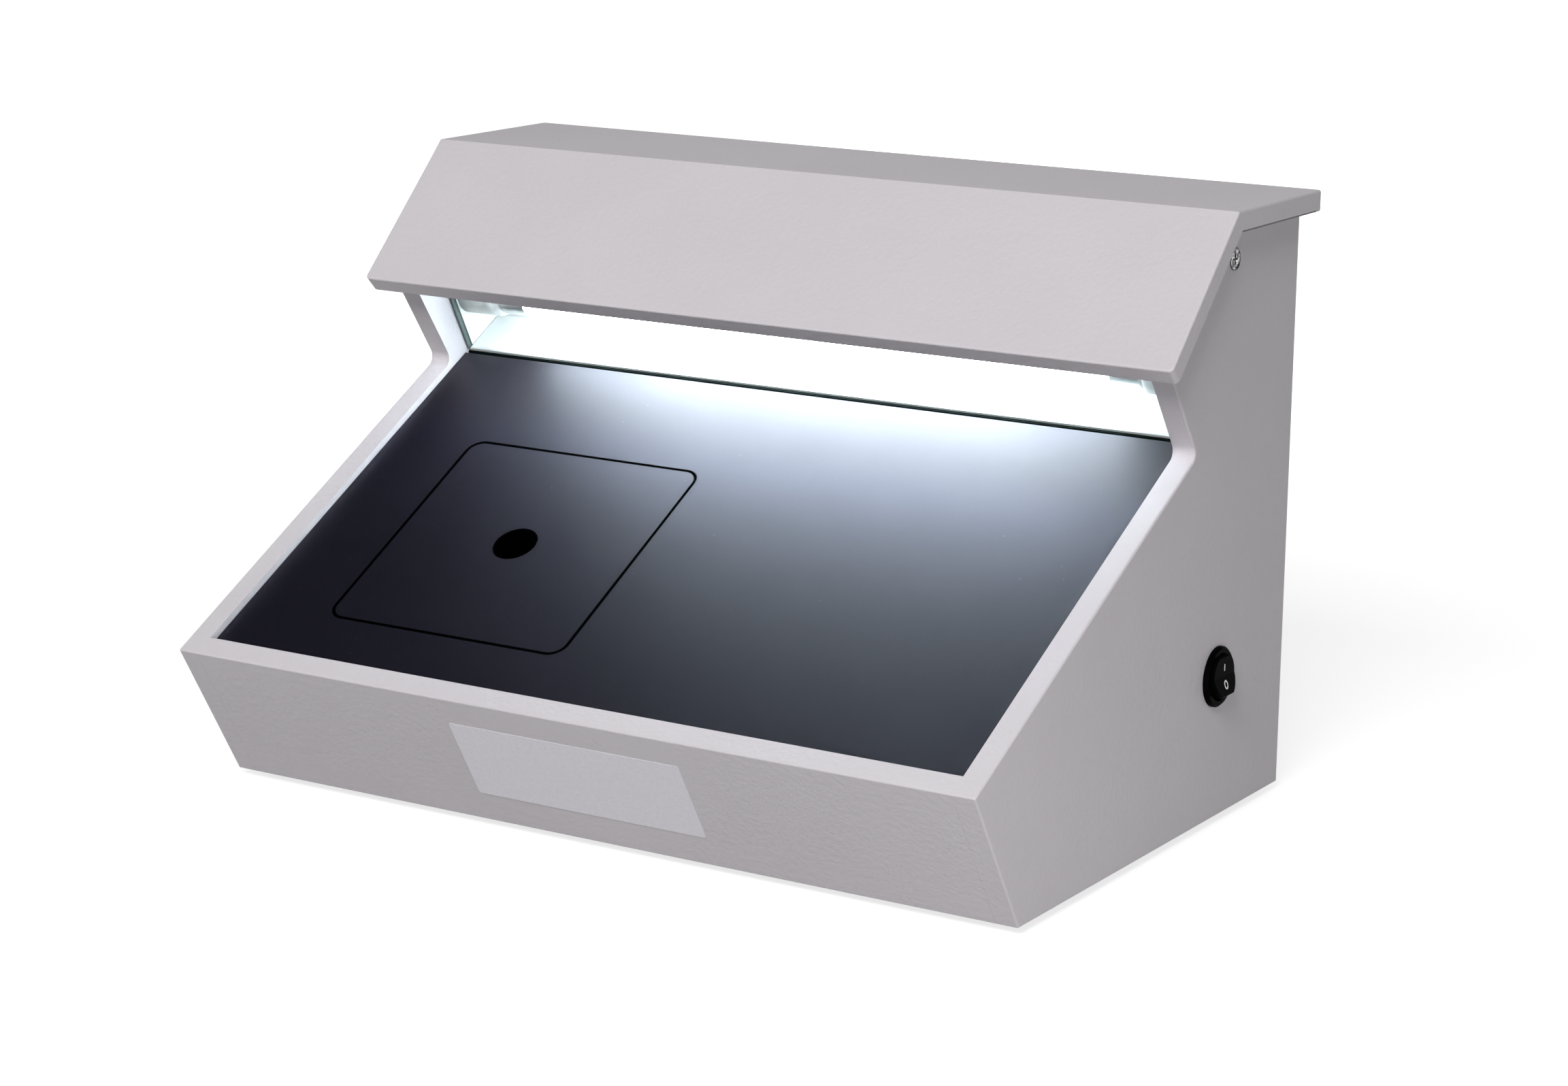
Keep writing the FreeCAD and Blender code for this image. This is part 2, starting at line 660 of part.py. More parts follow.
# Hood: top board and sloping front board, mitred at the ridge.
HOOD_BACK = "(Sizes.depth + Sizes.hood_back_overhang)"
hood_top = profile_board(
    "hood_top_board", [RIDGE, RIDGE_INNER, (HOOD_BACK, HOOD_UNDER), (HOOD_BACK, "Sizes.top_height")],
    HOOD_WIDTH)
hood_front = profile_board("hood_front_board", [LIP, LIP_INNER, RIDGE_INNER, RIDGE], HOOD_WIDTH)
ridge = Vector(0, number(RIDGE[0]), number(RIDGE[1]))
ridge_inner = Vector(0, number(RIDGE_INNER[0]), number(RIDGE_INNER[1]))
hood_turn = math.radians(size("hood_slope"))


def in_mitre(point):
    return min(abs(point.y - end.y) + abs(point.z - end.z) for end in (ridge, ridge_inner)) < 0.01


def ease_hood_board(body, depth_of):
    """Round the board's free corners in plan, then its arrises on both faces up to the mitre."""
    def at_corner(edge, a, b):
        return edge.Length < size("hood_board") + 0.01 and not in_mitre(a) and not in_mitre(b)

    def on_one_face(edge, a, b):
        return abs(depth_of(a) - depth_of(b)) < 0.01 and not (in_mitre(a) and in_mitre(b))

    ease(body, "Sizes.hood_corner", at_corner)
    ease(body, "Sizes.edge_radius", on_one_face)


ease_hood_board(hood_top, lambda point: point.z)
ease_hood_board(hood_front, lambda point: point.y * math.sin(hood_turn) - point.z * math.cos(hood_turn))

# Ridge block glued inside the mitre, between the side panels.
profile_board(
    "hood_ridge_block",
    [
        RIDGE_INNER,
        (f"({RIDGE_INNER[0]} - Sizes.ridge_block * cos(Sizes.hood_slope))",
         f"({RIDGE_INNER[1]} - Sizes.ridge_block * sin(Sizes.hood_slope))"),
        (f"({RIDGE_INNER[0]} + Sizes.ridge_block)", RIDGE_INNER[1]),
    ],
    "Sizes.inner_width - 2 * (Sizes.hood_cleat_width + 2 * Sizes.fit_gap)")

# Hood cleats: blocks under the top board that take the two side screws.
CLEAT_FRONT = f"({HOOD_SCREW[0]} - Sizes.hood_cleat_lead)"
HOOD_CLEAT_MIDDLE = f"({HALF_INNER} - Sizes.fit_gap - Sizes.hood_cleat_width / 2)"
for label, sign in (("hood_cleat_left", -1), ("hood_cleat_right", 1)):
    block = new_body(label)
    outline = new_sketch(block, "YZ_Plane")
    draw_rectangle(outline, CLEAT_FRONT, f"{CLEAT_FRONT} + Sizes.hood_cleat_depth",
                   f"{HOOD_UNDER} - Sizes.hood_cleat_height", HOOD_UNDER)
    draw_circle(outline, "Sizes.hood_screw_diameter", *HOOD_SCREW)
    pad(block, outline, "Sizes.hood_cleat_width", middle=True)
    put(block, x=f"{sign} * {HOOD_CLEAT_MIDDLE}")


def mirrored_pair(label, body):
    """A piece and its mirror image across the cabinet's middle, as one group of two solids."""
    subparts.remove(body)
    image = doc.addObject("Part::Mirroring", f"{label}_image")
    image.Source = body
    image.Normal = X_AXIS
    pair = doc.addObject("Part::Compound", label)
    pair.Links = [body, image]
    return keep(pair, label)


# Cup washers let into both sides, just behind the hood's front board, with countersunk screws in them.
def turned(label, corners):
    """Solid turned about its own X axis from a half section."""
    body = new_body(label)
    section = draw_polygon(new_sketch(body, "XY_Plane"), corners)
    doc.recompute()
    feature = body.newObject("PartDesign::Revolution", f"{label}_turn")
    feature.Profile = section
    feature.ReferenceAxis = (section, ["H_Axis"])
    feature.Angle = 360
    section.Visibility = False
    doc.recompute()
    return body


BORE_R = f"({SHANK_R} + Sizes.running_gap)"
SEAT_R = f"({CUP_R} - Sizes.cup_washer_wall)"
CUP_RIM = "Sizes.cup_washer_rim"
washer = turned(
    "hood_cup_washer",
    [(f"{BORE_R} - {CUP_R}", BORE_R), ("0", CUP_R), (CUP_RIM, CUP_R), (CUP_RIM, f"{SEAT_R} + {CUP_RIM}"),
     (f"{BORE_R} - {SEAT_R}", BORE_R)])
put(washer, HALF_OUTER, *HOOD_SCREW)
mirrored_pair("hood_cup_washers", washer)
HEAD_TOP = f"({CUP_RIM} - Sizes.hood_screw_sink)"
CONE_R = f"({SEAT_R} - Sizes.running_gap)"
hood_screw = turned(
    "hood_screw",
    [("-Sizes.hood_screw_length", "0"), ("-Sizes.hood_screw_length", SHANK_R),
     (f"{SHANK_R} - {CONE_R}", SHANK_R), (HEAD_TOP, f"{CONE_R} + {HEAD_TOP}"), (HEAD_TOP, "0")])
cut(hood_screw, draw_cross(new_sketch(hood_screw, "YZ_Plane", lift=HEAD_TOP)), "Sizes.cross_depth")
put(hood_screw, HALF_OUTER, *HOOD_SCREW)
mirrored_pair("hood_screws", hood_screw)

# Lamp cover: clear sheet that stands on the reflector's floor, square to the platform, and leans on the hood.
cover = new_body("lamp_cover")
cover_outline = new_sketch(cover, "XZ_Plane")
COVER_HALF = f"({HALF_INNER} - Sizes.cover_end_gap)"
draw_rectangle(cover_outline, f"-{COVER_HALF}", COVER_HALF, "-Sizes.platform_recess", COVER_TOP)
pad(cover, cover_outline, "Sizes.cover_thickness", backwards=True)
put_on_slope(cover, along=COVER_FRONT)

# Reflector: white sheet folded into a trough behind the lamp, its floor screwed to the rear rail.
SHEET = "Sizes.reflector_sheet"
TROUGH_FRONT = f"({COVER_FRONT} + Sizes.cover_toe)"
TROUGH_REAR = f"({COVER_REAR} + Sizes.reflector_depth)"
TROUGH_LIP = f"({TROUGH_REAR} - Sizes.reflector_top)"
TROUGH_TOP = under_hood(TROUGH_LIP, "Sizes.reflector_hood_gap")
reflector = profile_board(
    "lamp_reflector",
    [
        (TROUGH_FRONT, RAIL_TOP),
        (TROUGH_REAR, RAIL_TOP),
        (TROUGH_REAR, TROUGH_TOP),
        (TROUGH_LIP, TROUGH_TOP),
        (TROUGH_LIP, f"({TROUGH_TOP} - {SHEET})"),
        (f"({TROUGH_REAR} - {SHEET})", f"({TROUGH_TOP} - {SHEET})"),
        (f"({TROUGH_REAR} - {SHEET})", f"({RAIL_TOP} + {SHEET})"),
        (TROUGH_FRONT, f"({RAIL_TOP} + {SHEET})"),
    ],
    "Sizes.inner_width - 2 * Sizes.cover_end_gap", slope=True)
drill_reflector_fixings(reflector)
LEAD_NEAR = f"({HOLDER_FACE} + Sizes.holder_thickness / 2 - Sizes.lead_spacing / 2)"
LEAD_FAR = f"({HOLDER_FACE} + Sizes.holder_thickness / 2 + Sizes.lead_spacing / 2)"
lead_holes = new_sketch(reflector, "XZ_Plane", lift=f"-{LAMP_ALONG}")
for across in (LEAD_NEAR, LEAD_FAR):
    for sign in ("-", ""):
        draw_circle(lead_holes, "Sizes.lead_diameter + 2 * Sizes.fit_gap", f"{sign}{across}", LEAD_ABOVE)
cut(reflector, lead_holes)
put_on_slope(screw_row("reflector_screws", "XY_Plane", REFLECTOR_SPOTS, "Sizes.screw_length", backwards=True),
             above=f"{RAIL_TOP} + {SHEET} + Sizes.screw_head_depth")

# Lamp: glass tube and two metal end caps with contact pins.
TUBE_R = "Sizes.tube_diameter / 2"
CAP_R = "Sizes.cap_diameter / 2"
CAP_FACE = f"({HOLDER_FACE} - Sizes.lamp_end_gap)"
CAP_RIM = f"({CAP_FACE} - Sizes.cap_length)"
TUBE_END = f"({CAP_FACE} - Sizes.cap_end)"
tube = turned("lamp_tube",
              [(f"-{TUBE_END}", f"{TUBE_R} - Sizes.tube_wall"), (f"-{TUBE_END}", TUBE_R), (TUBE_END, TUBE_R),
               (TUBE_END, f"{TUBE_R} - Sizes.tube_wall")])
put_on_slope(tube, "0", LAMP_ALONG, LAMP_ABOVE)
cap = turned("lamp_end_cap",
             [(CAP_RIM, TUBE_R), (CAP_RIM, CAP_R), (CAP_FACE, CAP_R), (CAP_FACE, "0"),
              (TUBE_END, "0"), (TUBE_END, TUBE_R)])
pins = new_sketch(cap, "YZ_Plane", lift=CAP_FACE)
for sign in ("-", ""):
    draw_circle(pins, "Sizes.pin_diameter", f"{sign}Sizes.pin_spacing / 2", "0")
pad(cap, pins, "Sizes.pin_length")
put_on_slope(cap, "0", LAMP_ALONG, LAMP_ABOVE)
mirrored_pair("lamp_end_caps", cap)

# Lampholders: moulded blocks on the side panels, with a round recess and an entry slot for the pins.
PIN_CIRCLE = "(Sizes.pin_spacing + Sizes.pin_diameter + 2 * Sizes.pin_clearance)"
holder = new_body("lampholder_right")
stem = new_sketch(holder, "YZ_Plane")
draw_rectangle(stem, "-Sizes.holder_width / 2", "Sizes.holder_width / 2", "0", "Sizes.holder_height")
pad(holder, stem, "Sizes.holder_thickness")
pad(holder, draw_circle(new_sketch(holder, "YZ_Plane"), "Sizes.holder_width"), "Sizes.holder_thickness")
cut(holder, draw_circle(new_sketch(holder, "YZ_Plane"), PIN_CIRCLE), "Sizes.holder_recess", backwards=True)
entry = new_sketch(holder, "YZ_Plane")
ENTRY_HALF = "(Sizes.pin_diameter / 2 + Sizes.fit_gap)"
draw_rectangle(entry, f"-{ENTRY_HALF}", ENTRY_HALF, "-Sizes.holder_width", "0")
cut(holder, entry, "Sizes.holder_recess", backwards=True)
put_on_slope(holder, HOLDER_FACE, LAMP_ALONG, LAMP_ABOVE)
holder_image = doc.addObject("Part::Mirroring", "lampholder_left")
holder_image.Source = holder
holder_image.Normal = X_AXIS
keep(holder_image, "lampholder_left")

# Rocker switch: round bezel and body in the right side panel, round rocker on a cross pin, two blades.
housing = new_body("switch_housing")
pad(housing, draw_circle(new_sketch(housing, "YZ_Plane"), "Sizes.switch_bezel"), "Sizes.bezel_height")
ease(housing, "Sizes.bezel_chamfer", lambda edge, a, b: a.x > 0.01 and len(edge.Vertexes) == 1,
     kind="PartDesign::Chamfer")
pad(housing, draw_circle(new_sketch(housing, "YZ_Plane"), "Sizes.switch_body"), "Sizes.switch_body_length",
    backwards=True)
window = new_sketch(housing, "YZ_Plane", lift="Sizes.bezel_height")
draw_circle(window, "2 * (Sizes.rocker_radius + Sizes.rocker_gap)")
cut(housing, window, "Sizes.window_depth")
pivot_hole = new_sketch(housing, "XZ_Plane")
draw_circle(pivot_hole, "Sizes.rocker_pin + 2 * Sizes.running_gap", "-Sizes.rocker_sink", "0")
PIVOT_SPAN = "(Sizes.rocker_outline + 2 * Sizes.rocker_pin_length)"
cut(housing, pivot_hole, f"{PIVOT_SPAN} + 2 * Sizes.running_gap", middle=True)
put(housing, HALF_OUTER, *SWITCH)

rocker = new_body("switch_rocker")
REACH = "2 * Sizes.rocker_radius"
pad(rocker, draw_circle(new_sketch(rocker, "XZ_Plane"), REACH), REACH, middle=True)
hollows = new_sketch(rocker, "XZ_Plane")
CREST = "(Sizes.rocker_dip + Sizes.rocker_rise)"
draw_polygon(hollows, [
    ("Sizes.rocker_dip", "0"), (CREST, "Sizes.rocker_radius"), (REACH, "Sizes.rocker_radius"),
    (REACH, "-Sizes.rocker_radius"), (CREST, "-Sizes.rocker_radius"),
])
draw_rectangle(hollows, f"-{REACH}", "-Sizes.rocker_back", "-Sizes.rocker_radius", "Sizes.rocker_radius")
cut(rocker, hollows, middle=True)
surplus = new_sketch(rocker, "YZ_Plane")
draw_circle(surplus, "Sizes.rocker_outline")
draw_circle(surplus, "2 * Sizes.rocker_outline")
cut(rocker, surplus, middle=True)
pad(rocker, draw_circle(new_sketch(rocker, "XZ_Plane"), "Sizes.rocker_pin"), PIVOT_SPAN, middle=True)
put(rocker, f"{HALF_OUTER} - Sizes.rocker_sink", *SWITCH, turn="-Sizes.rocker_tilt", axis=Y_AXIS)

blades = new_body("switch_terminals")
blade_outline = new_sketch(blades, "YZ_Plane")
for sign in ("-", ""):
    blade_height = f"{sign}Sizes.blade_spacing / 2"
    draw_centred(blade_outline, "Sizes.blade_width", "Sizes.blade_thickness", "0", blade_height)
pad(blades, blade_outline, "Sizes.blade_length", backwards=True)
put(blades, f"{HALF_OUTER} - Sizes.switch_body_length", *SWITCH)

# Mains inlet: flanged moulding in the back panel with a keyed socket above a fuse drawer.
INLET = ("Sizes.inlet_across", "Sizes.depth", "Sizes.inlet_height")
inlet = new_body("mains_inlet")
flange = new_sketch(inlet, "XZ_Plane")
draw_centred(flange, "Sizes.flange_width", "Sizes.flange_height")
pad(inlet, flange, "Sizes.flange_thickness", backwards=True)
ease(inlet, "Sizes.flange_corner", lambda edge, a, b: runs_along(edge, Y_AXIS))
inlet_block = draw_centred(new_sketch(inlet, "XZ_Plane"), "Sizes.inlet_width", "Sizes.inlet_tall")
pad(inlet, inlet_block, "Sizes.inlet_depth")
SOCKET_HALF = "Sizes.socket_width / 2"
SOCKET_LOW = "(Sizes.socket_rise - Sizes.socket_height / 2)"
SOCKET_HIGH = "(Sizes.socket_rise + Sizes.socket_height / 2)"
SOCKET_BEVEL = f"({SOCKET_HIGH} - Sizes.socket_chamfer)"
SOCKET_BEVEL_HALF = f"({SOCKET_HALF} - Sizes.socket_chamfer)"
FACE_LIFT = "-Sizes.flange_thickness"
socket = new_sketch(inlet, "XZ_Plane", lift=FACE_LIFT)
draw_polygon(socket, [
    (f"-{SOCKET_HALF}", SOCKET_LOW), (SOCKET_HALF, SOCKET_LOW),
    (SOCKET_HALF, SOCKET_BEVEL), (SOCKET_BEVEL_HALF, SOCKET_HIGH),
    (f"-{SOCKET_BEVEL_HALF}", SOCKET_HIGH), (f"-{SOCKET_HALF}", SOCKET_BEVEL),
])
cut(inlet, socket, "Sizes.socket_depth", backwards=True)
drawer_hole = new_sketch(inlet, "XZ_Plane", lift=FACE_LIFT)
draw_centred(drawer_hole, "Sizes.drawer_width + 2 * Sizes.drawer_gap",
             "Sizes.drawer_height + 2 * Sizes.drawer_gap", "0", "-Sizes.drawer_drop")
cut(inlet, drawer_hole, "Sizes.drawer_depth + Sizes.drawer_gap", backwards=True)
INLET_PIN_SPOTS = [("-Sizes.inlet_pin_spacing / 2", "Sizes.socket_rise"),
                   ("Sizes.inlet_pin_spacing / 2", "Sizes.socket_rise"),
                   ("0", "Sizes.socket_rise + Sizes.inlet_earth_rise")]


def draw_inlet_pins(body, lift):
    outline = new_sketch(body, "XZ_Plane", lift=lift)
    for across, up in INLET_PIN_SPOTS:
        draw_centred(outline, "Sizes.inlet_pin_width", "Sizes.inlet_pin_height", across, up)
    return outline


cut(inlet, draw_inlet_pins(inlet, FACE_LIFT), backwards=True)
put(inlet, *INLET)

inlet_pins = new_body("inlet_pins")
PIN_START = "(Sizes.socket_depth - Sizes.flange_thickness - Sizes.inlet_pin_reach)"
PIN_RUN = f"(Sizes.inlet_depth + Sizes.inlet_pin_tail - {PIN_START})"
pad(inlet_pins, draw_inlet_pins(inlet_pins, PIN_START), PIN_RUN)
put(inlet_pins, *INLET)

drawer = new_body("fuse_drawer")
drawer_outline = new_sketch(drawer, "XZ_Plane", lift=FACE_LIFT)
draw_centred(drawer_outline, "Sizes.drawer_width", "Sizes.drawer_height", "0", "-Sizes.drawer_drop")
pad(drawer, drawer_outline, "Sizes.drawer_depth")
cradle = new_sketch(drawer, "XY_Plane")
CRADLE_FRONT = "(Sizes.fuse_gap - Sizes.drawer_depth / 2 + Sizes.flange_thickness + Sizes.fuse_length / 2)"
CRADLE_HALF = "(Sizes.fuse_diameter / 2 + Sizes.fuse_gap)"
draw_rectangle(cradle, f"-{CRADLE_HALF}", CRADLE_HALF,
               f"{CRADLE_FRONT} - Sizes.fuse_length - 2 * Sizes.fuse_gap", CRADLE_FRONT)
cut(drawer, cradle, "Sizes.drawer_drop + Sizes.fuse_diameter / 2 + Sizes.fuse_gap")
put(drawer, *INLET)

fuse = doc.addObject("Part::Cylinder", "fuse")
fuse.setExpression("Radius", "Sizes.fuse_diameter / 2")
fuse.setExpression("Height", "Sizes.fuse_length")
keep(fuse, "fuse")
put(fuse, INLET[0], f"Sizes.depth + {CRADLE_FRONT} - Sizes.fuse_gap",
    "Sizes.inlet_height - Sizes.drawer_drop", turn="90")

# Ballast on the base: laminated core on a foot plate, with a terminal moulding at its right end.
ballast = new_body("ballast_core")
foot_plate = new_sketch(ballast, "XY_Plane")
draw_centred(foot_plate, "Sizes.ballast_length + 2 * Sizes.ballast_foot", "Sizes.ballast_width")
for sign in ("-", ""):
    draw_circle(foot_plate, "Sizes.screw_diameter", f"{sign}{BALLAST_FOOT_X}", BALLAST_FOOT_Y)
pad(ballast, foot_plate, "Sizes.ballast_plate")
core = new_sketch(ballast, "XY_Plane")
draw_centred(core, "Sizes.ballast_length", "Sizes.ballast_width")
pad(ballast, core, "Sizes.ballast_height")
core_top = size("ballast_height")
ease(ballast, "Sizes.ballast_edge", lambda edge, a, b: min(a.z, b.z) > core_top - 0.01)
put(ballast, *BALLAST, BASE_TOP)

TERMINAL_X = f"({BALLAST[0]} + Sizes.ballast_length / 2 + Sizes.terminal_length / 2)"
TERMINAL_Y = f"({BALLAST[1]} + Sizes.ballast_width / 2 - Sizes.terminal_width / 2)"
TERMINAL_FACE = f"({TERMINAL_X} + Sizes.terminal_length / 2)"
TERMINAL_Z = f"({BASE_TOP} + Sizes.ballast_plate + Sizes.terminal_height / 2)"
ballast_terminals = new_body("ballast_terminals")
terminal_outline = new_sketch(ballast_terminals, "XY_Plane")
draw_centred(terminal_outline, "Sizes.terminal_length", "Sizes.terminal_width")
pad(ballast_terminals, terminal_outline, "Sizes.terminal_height")
put(ballast_terminals, TERMINAL_X, TERMINAL_Y, f"{BASE_TOP} + Sizes.ballast_plate")
put(screw_row("ballast_screws", "XY_Plane", BALLAST_SPOTS, "Sizes.ballast_screw_length", backwards=True),
    z=f"{BASE_TOP} + Sizes.ballast_plate + Sizes.screw_head_depth")

# Starter in its holder: the can drops in on two pegs and locks with a twist.
STARTER = ("Sizes.starter_across", "(Sizes.depth - Sizes.starter_from_back)")
STARTER_FLOOR = "(Sizes.starter_holder_height - Sizes.starter_socket)"
starter_holder = new_body("starter_holder")
pad(starter_holder, draw_circle(new_sketch(starter_holder, "XY_Plane"), "Sizes.starter_holder_diameter"),
    "Sizes.starter_holder_height")
cut(starter_holder,
    draw_circle(new_sketch(starter_holder, "XY_Plane", lift="Sizes.starter_holder_height"),
                "Sizes.starter_diameter + 2 * Sizes.starter_gap"),
    "Sizes.starter_socket")
peg_ring = new_sketch(starter_holder, "XY_Plane", lift=STARTER_FLOOR)
draw_circle(peg_ring, "Sizes.peg_spacing + Sizes.peg_diameter + 2 * Sizes.starter_gap")
draw_circle(peg_ring, "Sizes.peg_spacing - Sizes.peg_diameter - 2 * Sizes.starter_gap")
cut(starter_holder, peg_ring, "Sizes.peg_length + Sizes.starter_gap")
put(starter_holder, *STARTER, BASE_TOP)

starter = new_body("starter")
pad(starter, draw_circle(new_sketch(starter, "XY_Plane"), "Sizes.starter_diameter"), "Sizes.starter_height")
can_top = size("starter_height")
ease(starter, "Sizes.starter_dome", lambda edge, a, b: a.z > can_top - 0.01 and len(edge.Vertexes) == 1)
pegs = new_sketch(starter, "XY_Plane")
for sign in ("-", ""):
    draw_circle(pegs, "Sizes.peg_diameter", f"{sign}Sizes.peg_spacing / 2")
pad(starter, pegs, "Sizes.peg_length", backwards=True)
put(starter, *STARTER, f"{BASE_TOP} + {STARTER_FLOOR} + Sizes.starter_gap")

# Rubber feet under the base, each held by a screw in a recess.
feet = new_body("rubber_feet")
foot_rings = new_sketch(feet, "XY_Plane")
recesses = new_sketch(feet, "XY_Plane", lift="-Sizes.foot_height")
for across, along in FOOT_SPOTS:
    draw_circle(foot_rings, "Sizes.foot_diameter", across, along)
    draw_circle(foot_rings, "Sizes.screw_diameter", across, along)
    draw_circle(recesses, "Sizes.screw_head + 2 * Sizes.fit_gap", across, along)
pad(feet, foot_rings, "Sizes.foot_height", backwards=True)
cut(feet, recesses, "Sizes.foot_recess", backwards=True)
put(feet)
put(screw_row("foot_screws", "XY_Plane", FOOT_SPOTS, "Sizes.foot_screw_length"),
    z="Sizes.foot_recess - Sizes.screw_head_depth - Sizes.foot_height")


# Insulated leads: mains through the switch and the ballast to one lamp end, on through the starter to the
# other end and back. Each follows straight runs with rounded corners, and a bend takes up less than half of
# the shorter run beside it.
BEND_SHARE = 0.48


def lead(label, corners):
    points = [
        Vector(number(x), number(f"{TOE_Y} + ({y})"), number(f"{FLOOR_Z} + ({z})")) for x, y, z in corners
    ]
    runs = []
    start = points[0]
    for before, corner, after in zip(points, points[1:], points[2:]):
        back_way = (before - corner).normalize()
        on_way = (after - corner).normalize()
        half_angle = back_way.getAngle(on_way) / 2
        inward = (back_way + on_way).normalize()
        shorter = min((before - corner).Length, (after - corner).Length)
        reach = min(size("lead_bend") / math.tan(half_angle), BEND_SHARE * shorter)
        bend = reach * math.tan(half_angle)
        middle = corner + inward * (bend / math.sin(half_angle) - bend)
        first = corner + back_way * reach
        last = corner + on_way * reach
        runs.append(Part.LineSegment(start, first).toShape())
        runs.append(Part.Arc(first, middle, last).toShape())
        start = last
    runs.append(Part.LineSegment(start, points[-1]).toShape())
    path = Part.Wire(runs)
    radius = size("lead_diameter") / 2
    ring = Part.Wire([Part.Circle(points[0], points[1] - points[0], radius).toShape()])
    wire = doc.addObject("Part::Feature", label)
    wire.Shape = path.makePipeShell([ring], True, False)
    expected = path.Length * math.pi * radius ** 2
    if abs(wire.Shape.Volume - expected) > 0.01 * expected:
        raise RuntimeError(f"{label} is not as full as its path is long")
    return keep(wire, label)


LEAD_RUN = "(Sizes.depth - Sizes.board - Sizes.lead_back_gap)"
HOLDER_REACH = "sqrt(pow(Sizes.holder_width / 2; 2) - pow(Sizes.lead_drop - Sizes.lead_diameter / 2; 2))"
HOLDER_REAR = on_rim(f"{LAMP_ALONG} + {HOLDER_REACH}", LEAD_ABOVE)


def holder_drop(x, setback):
    """A lampholder's lead end and the corner where the lead turns down towards the base."""
    rise = f"({HOLDER_REAR[1]} + (({setback}) - {HOLDER_REAR[0]}) * tan(Sizes.platform_slope))"
    return [(x, *HOLDER_REAR), (x, setback, rise)]


BLADE_END = f"({HALF_OUTER} - Sizes.switch_body_length - Sizes.blade_length)"
UPPER_BLADE = "(Sizes.switch_height + Sizes.blade_spacing / 2)"
LOWER_BLADE = "(Sizes.switch_height - Sizes.blade_spacing / 2)"
TAIL_END = "(Sizes.depth - Sizes.inlet_depth - Sizes.inlet_pin_tail)"
TAIL_Z = "(Sizes.inlet_height + Sizes.socket_rise)"
LIVE_X = "(Sizes.inlet_across + Sizes.inlet_pin_spacing / 2)"
NEUTRAL_X = "(Sizes.inlet_across - Sizes.inlet_pin_spacing / 2)"
EARTH_Z = f"({TAIL_Z} + Sizes.inlet_earth_rise)"
lead("live_lead", [
    (LIVE_X, TAIL_END, TAIL_Z),
    (LIVE_X, SWITCH[0], TAIL_Z),
    (BLADE_END, SWITCH[0], UPPER_BLADE),
])
SWITCHED_X = f"({BLADE_END} - Sizes.lead_stub)"
INPUT_Y = f"({TERMINAL_Y} - Sizes.terminal_width / 4)"
OUTPUT_Y = f"({TERMINAL_Y} + Sizes.terminal_width / 4)"
lead("switched_lead", [
    (BLADE_END, SWITCH[0], LOWER_BLADE),
    (SWITCHED_X, SWITCH[0], LOWER_BLADE),
    (SWITCHED_X, INPUT_Y, TERMINAL_Z),
    (TERMINAL_FACE, INPUT_Y, TERMINAL_Z),
])
OUTPUT_X = f"({TERMINAL_FACE} + Sizes.lead_stub)"
lead("lamp_lead_left", [
    (TERMINAL_FACE, OUTPUT_Y, TERMINAL_Z),
    (OUTPUT_X, OUTPUT_Y, TERMINAL_Z),
    (OUTPUT_X, LEAD_RUN, TERMINAL_Z),
    (f"-{LEAD_NEAR}", LEAD_RUN, TERMINAL_Z),
    *reversed(holder_drop(f"-{LEAD_NEAR}", LEAD_RUN)),
])
STARTER_Z = f"({BASE_TOP} + {STARTER_FLOOR} / 2)"
STARTER_R = "Sizes.starter_holder_diameter / 2"
lead("starter_lead_left", [
    *holder_drop(f"-{LEAD_FAR}", LEAD_RUN),
    (f"-{LEAD_FAR}", LEAD_RUN, STARTER_Z),
    (f"-{LEAD_FAR}", STARTER[1], STARTER_Z),
    (f"{STARTER[0]} - {STARTER_R}", STARTER[1], STARTER_Z),
])
STARTER_OUT = f"({STARTER[0]} + {STARTER_R} + Sizes.lead_stub)"
BACK_RUN = f"({LEAD_RUN} + Sizes.lead_spacing)"
lead("starter_lead_right", [
    (f"{STARTER[0]} + {STARTER_R}", STARTER[1], STARTER_Z),
    (STARTER_OUT, STARTER[1], STARTER_Z),
    (STARTER_OUT, BACK_RUN, STARTER_Z),
    (LEAD_FAR, BACK_RUN, STARTER_Z),
    *reversed(holder_drop(LEAD_FAR, BACK_RUN)),
])
NEUTRAL_Y = f"({TAIL_END} - Sizes.lead_stub)"
NEUTRAL_Z = f"({TAIL_Z} + Sizes.lead_loop)"
lead("neutral_lead", [
    *holder_drop(LEAD_NEAR, LEAD_RUN),
    (LEAD_NEAR, LEAD_RUN, NEUTRAL_Z),
    (NEUTRAL_X, NEUTRAL_Y, NEUTRAL_Z),
    (NEUTRAL_X, NEUTRAL_Y, TAIL_Z),
    (NEUTRAL_X, TAIL_END, TAIL_Z),
])
EARTH_END = on_rim(TROUGH_REAR, f"{LAMP_ABOVE} / 2")
EARTH_RISE = f"({EARTH_END[1]} + ({BACK_RUN} - {EARTH_END[0]}) * tan(Sizes.platform_slope))"
lead("earth_lead", [
    ("Sizes.inlet_across", TAIL_END, EARTH_Z),
    ("Sizes.inlet_across", f"{TAIL_END} - Sizes.lead_stub", EARTH_Z),
    ("Sizes.inlet_across", TAIL_END, f"{EARTH_Z} + Sizes.lead_loop"),
    ("Sizes.inlet_across", BACK_RUN, f"{EARTH_Z} + 2 * Sizes.lead_loop"),
    ("Sizes.inlet_across", BACK_RUN, EARTH_RISE),
    ("Sizes.inlet_across", *EARTH_END),
])

doc.removeObject(gauge.Name)
doc.recompute()
for item in doc.Objects:
    if "Invalid" in item.State or "Error" in item.State:
        raise RuntimeError(f"{item.Label} did not build")
os.makedirs("parts", exist_ok=True)
for item in subparts:
    if item.Shape.isNull() or not item.Shape.isValid() or not item.Shape.Solids:
        raise RuntimeError(f"{item.Label} has no sound solid")
    item.Shape.exportStep(f"parts/{item.Label}.step")
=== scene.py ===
import json
import math

